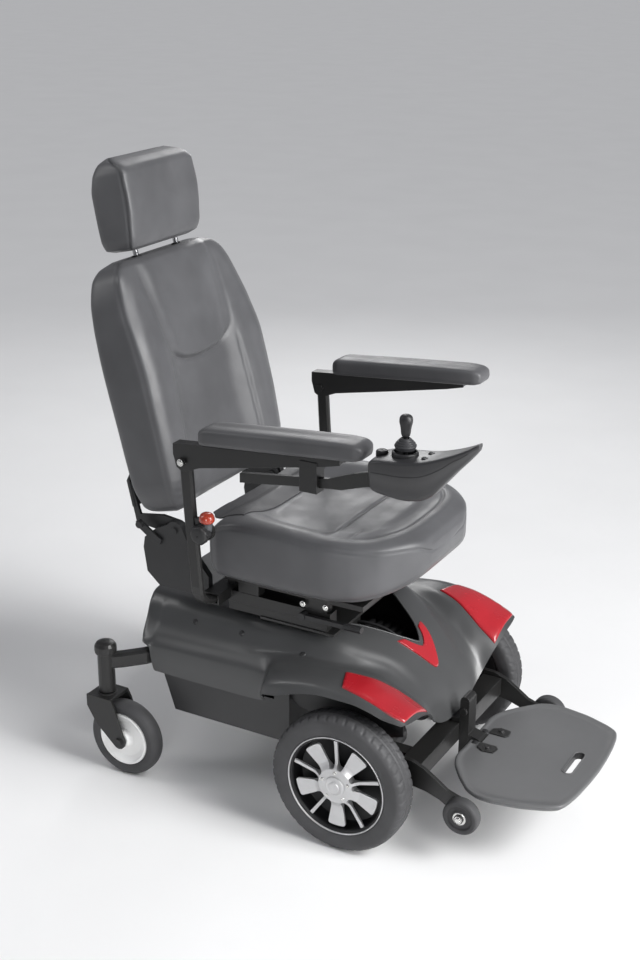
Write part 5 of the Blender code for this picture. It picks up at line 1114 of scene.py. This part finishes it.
def build_joystick():
    X = [0.0610, 0.0680, 0.0900, 0.1300, 0.1600, 0.1850, 0.2050, 0.2300, 0.2550, 0.2720]
    W = [0.0370, 0.0410, 0.0440, 0.0450, 0.0430, 0.0390, 0.0340, 0.0270, 0.0180, 0.0090]
    T = [0.8720, 0.8760, 0.8810, 0.8850, 0.8890, 0.8950, 0.9020, 0.9120, 0.9240, 0.9340]
    B = [0.8200, 0.8120, 0.8060, 0.8020, 0.8060, 0.8200, 0.8430, 0.8730, 0.9010, 0.9220]
    K = [0.80, 0.78, 0.66, 0.60, 0.56, 0.55, 0.60, 0.65, 0.70, 0.80]
    xs = end_stations(X, 90, 0.5)
    rings = []
    for i, x in enumerate(xs):
        w, tp, bt, k = (float(curve(X, v, x)) for v in (W, T, B, K))
        e = min(1.0, (min(i, len(xs) - 1 - i) + 0.2) / 5.0)
        e = math.sqrt(1 - (1 - e) ** 2)
        mid = (tp + bt) / 2
        h = (tp - bt)
        sec = np.array([(-w, tp - 0.0015), (-w * 1.005, tp - 0.006), (-w * 0.98, tp - h * 0.36), (-w * (k * 0.7 + 0.28), tp - h * 0.66), (-w * k, bt + 0.004), (-w * k * 0.6, bt), (0, bt), (w * k * 0.6, bt), (w * k, bt + 0.004), (w * (k * 0.7 + 0.28), tp - h * 0.66), (w * 0.98, tp - h * 0.36), (w * 1.005, tp - 0.006), (w, tp - 0.0015), (w * 0.85, tp + 0.0012), (w * 0.4, tp + 0.0020), (0, tp + 0.0022), (-w * 0.4, tp + 0.0020), (-w * 0.85, tp + 0.0012)])
        sec = chaikin(sec, 2)
        sec[:, 0] *= 0.90 + 0.10 * e
        sec[:, 1] = mid + (sec[:, 1] - mid) * (0.84 + 0.16 * e)
        rings.append(np.column_stack([np.full(len(sec), x), sec[:, 0] - ARM_Y, sec[:, 1]]))
    ob = closed_skin(np.array(rings), "joystick_case", POD, None, 0)
    cut = []
    for (cx, cy, r, lo) in ((STICK[0], STICK[1], 0.0196, 0.868), (0.168, -0.270, 0.0066, 0.877), (0.168, -0.300, 0.0066, 0.877), (0.073, -0.285, 0.0125, 0.869)):
        cut.append(prism([(cx + r * math.cos(2 * math.pi * k / 36), cy + r * math.sin(2 * math.pi * k / 36)) for k in range(36)], lo, 0.93))
    boolean(ob, cut)
    tidy(ob, POD, 40)
    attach(ob, "joystick")
    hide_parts("joystick_pod")
    x, y, z = STICK
    ring = lathe("joystick_bezel", rounded_profile([(0.0205, 0.876), (0.0258, 0.876), (0.0252, 0.8925), (0.0225, 0.8948), (0.0205, 0.8935)], 0.0009, 3), (x, y, 0), (0, 0, 1), 56, BLACK, "joystick")
    # Moulded seam between the two halves of the case.
    seam = [np.array(rings)[i] for i in range(6, 84)]
    for sgn, tag in ((-1, "a"), (1, "b")):
        pts = []
        for r in seam:
            i = int(np.argmin(np.abs(r[:, 2] - (r[:, 2].max() * 0.66 + r[:, 2].min() * 0.34)) + (np.sign(r[:, 1] + ARM_Y) != sgn) * 1.0))
            pts.append(r[i] + np.array([0, sgn * 0.0001, 0]))
        tube(f"case_seam_{tag}", smooth_outline(pts[::6], 4, closed=False), 0.0006, BLACK, "joystick", 6)
    # Rubber boot: a folded cone.
    prof = [(0.0188, -0.0068), (0.0196, -0.0040), (0.0206, -0.0012), (0.0212, 0.0002), (0.0204, 0.0020), (0.0184, 0.0026), (0.0190, 0.0048), (0.0180, 0.0062), (0.0158, 0.0064), (0.0160, 0.0086), (0.0148, 0.0098), (0.0126, 0.0098), (0.0126, 0.0120), (0.0108, 0.0134), (0.0096, 0.0150), (0.0072, 0.0150), (0.0072, -0.0068)]
    b = lathe("joystick_gaiter", rounded_profile(prof, 0.0007, 2), STICK, (0, 0, 1), 56, BOOT, "joystick_gimbal", angle=60)
    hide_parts("joystick_boot")
    st = [(0.0002, -0.0250), (0.0040, -0.0250), (0.0040, 0.0165), (0.0078, 0.0190), (0.0092, 0.0250), (0.0098, 0.0320), (0.0112, 0.0400), (0.0127, 0.0455), (0.0129, 0.0510), (0.0118, 0.0560), (0.0085, 0.0596), (0.0040, 0.0611), (0.0002, 0.0613)]
    k = lathe("joystick_handle", rounded_profile(st, 0.0020, 4), STICK, (0, 0, 1), 48, BLACK, "joystick_lever", angle=60)
    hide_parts("joystick_stick")
    for label, by in (("power_button", 0.0150), ("horn_button", -0.0150)):
        o = lathe(f"{label}_cap", rounded_profile([(0.0002, 0.8805), (0.0058, 0.8805), (0.0058, 0.8938), (0.0048, 0.8948), (0.0030, 0.8940), (0.0002, 0.8938)], 0.0006, 2), (0.1680, y + by, 0), (0, 0, 1), 32, BLACK, label)
        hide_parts(label)

    def grip(a, i, r, h):
        return 0.0005 * np.clip(np.cos(a * 18) * 2, -1, 1) * (r > 0.0100) * (h < 0.8862)

    d = lathe("speed_dial_knob", dense(rounded_profile([(0.0002, 0.8720), (0.0110, 0.8720), (0.0110, 0.8850), (0.0096, 0.8880), (0.0002, 0.8880)], 0.0008, 2), 0.0009), (0.0730, y, 0), (0, 0, 1), 108, BLACK, "speed_dial", radial=grip, angle=50)
    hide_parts("speed_dial")
    tube("speed_dial_mark", [(0.0760, y, 0.8881), (0.0825, y, 0.8881)], 0.0006, MARK, "speed_dial", 6)


build_joystick()


# ============================================================ small hardware
def grip_knob(name, centre, direction, r, h, mat, body, flutes=7):
    """Domed knob with a fluted rim."""
    def flute(a, i, rr, hh):
        return np.where(rr > r * 0.8, -0.06 * r * (0.5 + 0.5 * np.cos(a * flutes)), 0.0) * (1.0 if hh < h * 0.7 else 0.3)

    prof = dense(rounded_profile([(0.0004, 0.0), (r * 0.92, 0.0), (r, h * 0.15), (r, h * 0.55), (r * 0.86, h * 0.84), (r * 0.55, h * 0.97), (0.0004, h)], r * 0.10, 3), r * 0.10)
    return lathe(name, prof, centre, direction, 84, mat, body, radial=flute, angle=60)


def build_hardware():
    for s in (-1, 1):
        side = SIDES[s]
        bolt(f"arm_pivot_bolt_{side}", (-0.371, s * 0.3065, 0.786), (0, s, 0), 0.0058, 0.0042, f"armrest_{side}")
        lo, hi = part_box(f"arm_knob_{side}")
        cx = (lo.x + hi.x) / 2 - X0
        cz = (lo.z + hi.z) / 2
        r = (hi.z - lo.z) / 2
        face = hi.y if s > 0 else lo.y
        cap = grip_knob(f"arm_knob_cap_{side}", (cx, face - s * 0.004, cz), (0, s, 0), r * 0.92, 0.012, BLACK, f"arm_knob_{side}")
    cap = lathe("clamp_knob_cap", dense(rounded_profile([(0.0004, -0.010), (0.0125, -0.010), (0.0165, -0.006), (0.0160, 0.0), (0.0135, 0.0065), (0.0085, 0.0100), (0.0004, 0.0112)], 0.0016, 3), 0.0009), (-0.3165, -0.2960, 0.6735), (0.10, -0.10, 1.0), 60, AMBER, "arm_upright_right", angle=60)
    body = lathe("clamp_knob_body", dense(rounded_profile([(0.0004, -0.034), (0.0085, -0.034), (0.0100, -0.030), (0.0120, -0.012), (0.0140, -0.0095), (0.0004, -0.0090)], 0.0012, 2), 0.0010), (-0.3165, -0.2960, 0.6735), (0.10, -0.10, 1.0), 48, SMOKE, "arm_upright_right", radial=lambda a, i, r, h: np.where(r > 0.007, 0.0005 * np.cos(a * 12), 0.0), angle=60)
    bolt("rail_bolt_a", (-0.152, -0.1905, 0.475), (0, -1, 0), 0.0050, 0.0036, "seat")
    bolt("rail_bolt_b", (-0.098, -0.1905, 0.4785), (0, -1, 0), 0.0050, 0.0036, "seat")
    # Inner cover below the deck opening: a tray whose sides turn up under the skin.
    rows = []
    for x in np.linspace(-0.185, 0.088, 44):
        base = float(np.interp(x, [-0.185, -0.06, 0.02, 0.060, 0.088], [0.312, 0.306, 0.292, 0.256, 0.208]))
        half = float(np.interp(x, [-0.185, -0.03, 0.04, 0.088], [0.196, 0.196, 0.150, 0.080]))
        edge = on_skin(x, half)[0][2] - 0.0065
        a = np.linspace(-1, 1, 41)
        rise = smooth(0.66, 1.0, np.abs(a)) * max(0.0, edge - base)
        top = np.column_stack([np.full(41, x), a * half, base + rise - 0.0004 * np.cos(a * 22)])
        rows.append(top)
    cover = sheet("inner_cover", np.array(rows), np.array(rows) - np.array([0, 0, 0.0030]), BLACK, "base", 45)
    # Wheel wells: walls between the drive wheels and the frame.
    for s in (-1, 1):
        rows = []
        for x in np.linspace(-0.185, 0.096, 40):
            up = on_skin(x, 0.206)[0][2] - 0.0060
            low = float(np.interp(x, [-0.185, -0.150, -0.06, 0.05, 0.096], [0.262, 0.240, 0.222, 0.222, 0.236]))
            low = min(low, up - 0.010)
            z = np.linspace(low, up, 9)
            y = 0.2050 + 0.0012 * np.sin((z - low) * 120)
            rows.append(np.column_stack([np.full(9, x), s * y, z]))
        well = sheet(f"wheel_well_{SIDES[s]}", np.array(rows), np.array(rows) - np.array([0, s * 0.0028, 0]), BLACK, "base", 45)
    for k, (y0, y1, bulge) in enumerate(((-0.040, -0.022, 0.020), (-0.010, 0.004, 0.026), (0.030, 0.020, 0.018))):
        pts = smooth_outline([(-0.165, y0, 0.330), (-0.120, y0 - 0.012, 0.334 + bulge), (-0.070, (y0 + y1) / 2, 0.336 + bulge * 0.6), (-0.025, y1 + 0.010, 0.326), (0.005, y1, 0.312)], 8, closed=False)
        lead = tube(f"lead_{k}", pts, 0.0034, CABLE, "base", 10)


build_hardware()


# ============================================================ camera and light
def build_stage():
    size = 60.0
    floor = mesh_object("stage_floor", [(-size, -size, 0), (size, -size, 0), (size, size, 0), (-size, size, 0)], [(0, 1, 2, 3)], BLACK, None, 0)
    mat, nt, bsdf = nodes_of("stage_pale")
    vec = mapping(nt)
    col = mix_rgb(nt, ramp(nt, noise_tex(nt, vec, 3.0, 2.0), 0.0, 1.0), (0.80, 0.80, 0.80), (0.82, 0.82, 0.82))
    nt.links.new(col, bsdf.inputs["Base Color"])
    bsdf.inputs["Roughness"].default_value = 0.75
    bsdf.inputs["Specular IOR Level"].default_value = 0.2
    floor.data.materials.clear()
    floor.data.materials.append(mat)


def area(name, where, target, w, h, power, color=(1, 1, 1)):
    light = bpy.data.lights.new(name, "AREA")
    light.shape = "RECTANGLE"
    light.size, light.size_y = w, h
    light.energy = power
    light.color = color
    ob = bpy.data.objects.new(name, light)
    bpy.context.scene.collection.objects.link(ob)
    ob.location = where
    ob.rotation_euler = (Vector(target) - Vector(where)).to_track_quat("-Z", "Y").to_euler()
    return ob


def sun(name, towards, power, angle):
    light = bpy.data.lights.new(name, "SUN")
    light.energy = power
    light.angle = math.radians(angle)
    ob = bpy.data.objects.new(name, light)
    bpy.context.scene.collection.objects.link(ob)
    ob.rotation_euler = Vector(towards).to_track_quat("Z", "Y").to_euler()
    return ob


def build_lights():
    world = bpy.data.worlds.new("studio")
    world.use_nodes = True
    bg = world.node_tree.nodes["Background"]
    bg.inputs["Color"].default_value = (0.90, 0.92, 1.0, 1)
    bg.inputs["Strength"].default_value = 0.21
    bpy.context.scene.world = world
    mid = (0.0, 0.0, 0.6)
    sun("key_sun", (0.90, -0.04, 1.0), 1.55, 24)
    area("front_soft", (2.9, -0.15, 1.75), (-0.35, 0.0, 1.0), 1.2, 2.0, 122)
    area("rear_strip", (-2.2, -1.2, 2.2), mid, 0.35, 2.0, 14)
    area("far_strip", (-1.4, 2.6, 2.2), mid, 0.7, 2.0, 20)
    low = area("low_fill", (0.75, -2.4, 0.60), (-0.05, -0.30, 0.10), 0.9, 0.4, 1.1)
    low.data.spread = math.radians(40)


def build_camera():
    a, e, ro = math.radians(29.1285), math.radians(21.054), math.radians(0.3224)
    back = Vector((math.sin(a) * math.cos(e), -math.cos(a) * math.cos(e), math.sin(e)))
    r = Vector((math.cos(a), math.sin(a), 0))
    u = back.cross(r)
    r2 = r * math.cos(ro) + u * math.sin(ro)
    u2 = -r * math.sin(ro) + u * math.cos(ro)
    c = Vector((1.27256 + X0, -2.67576, 1.85515))
    m = Matrix.Identity(4)
    for i in range(3):
        m[i][0], m[i][1], m[i][2], m[i][3] = r2[i], u2[i], back[i], c[i]
    cam = bpy.data.cameras.new("photo_camera")
    cam.lens = 56.91
    cam.sensor_width = 36
    cam.clip_end = 100
    ob = bpy.data.objects.new("photo_camera", cam)
    bpy.context.scene.collection.objects.link(ob)
    ob.matrix_world = m
    bpy.context.scene.camera = ob


bpy.context.scene.view_settings.view_transform = "Standard"
build_stage()
build_lights()
build_camera()

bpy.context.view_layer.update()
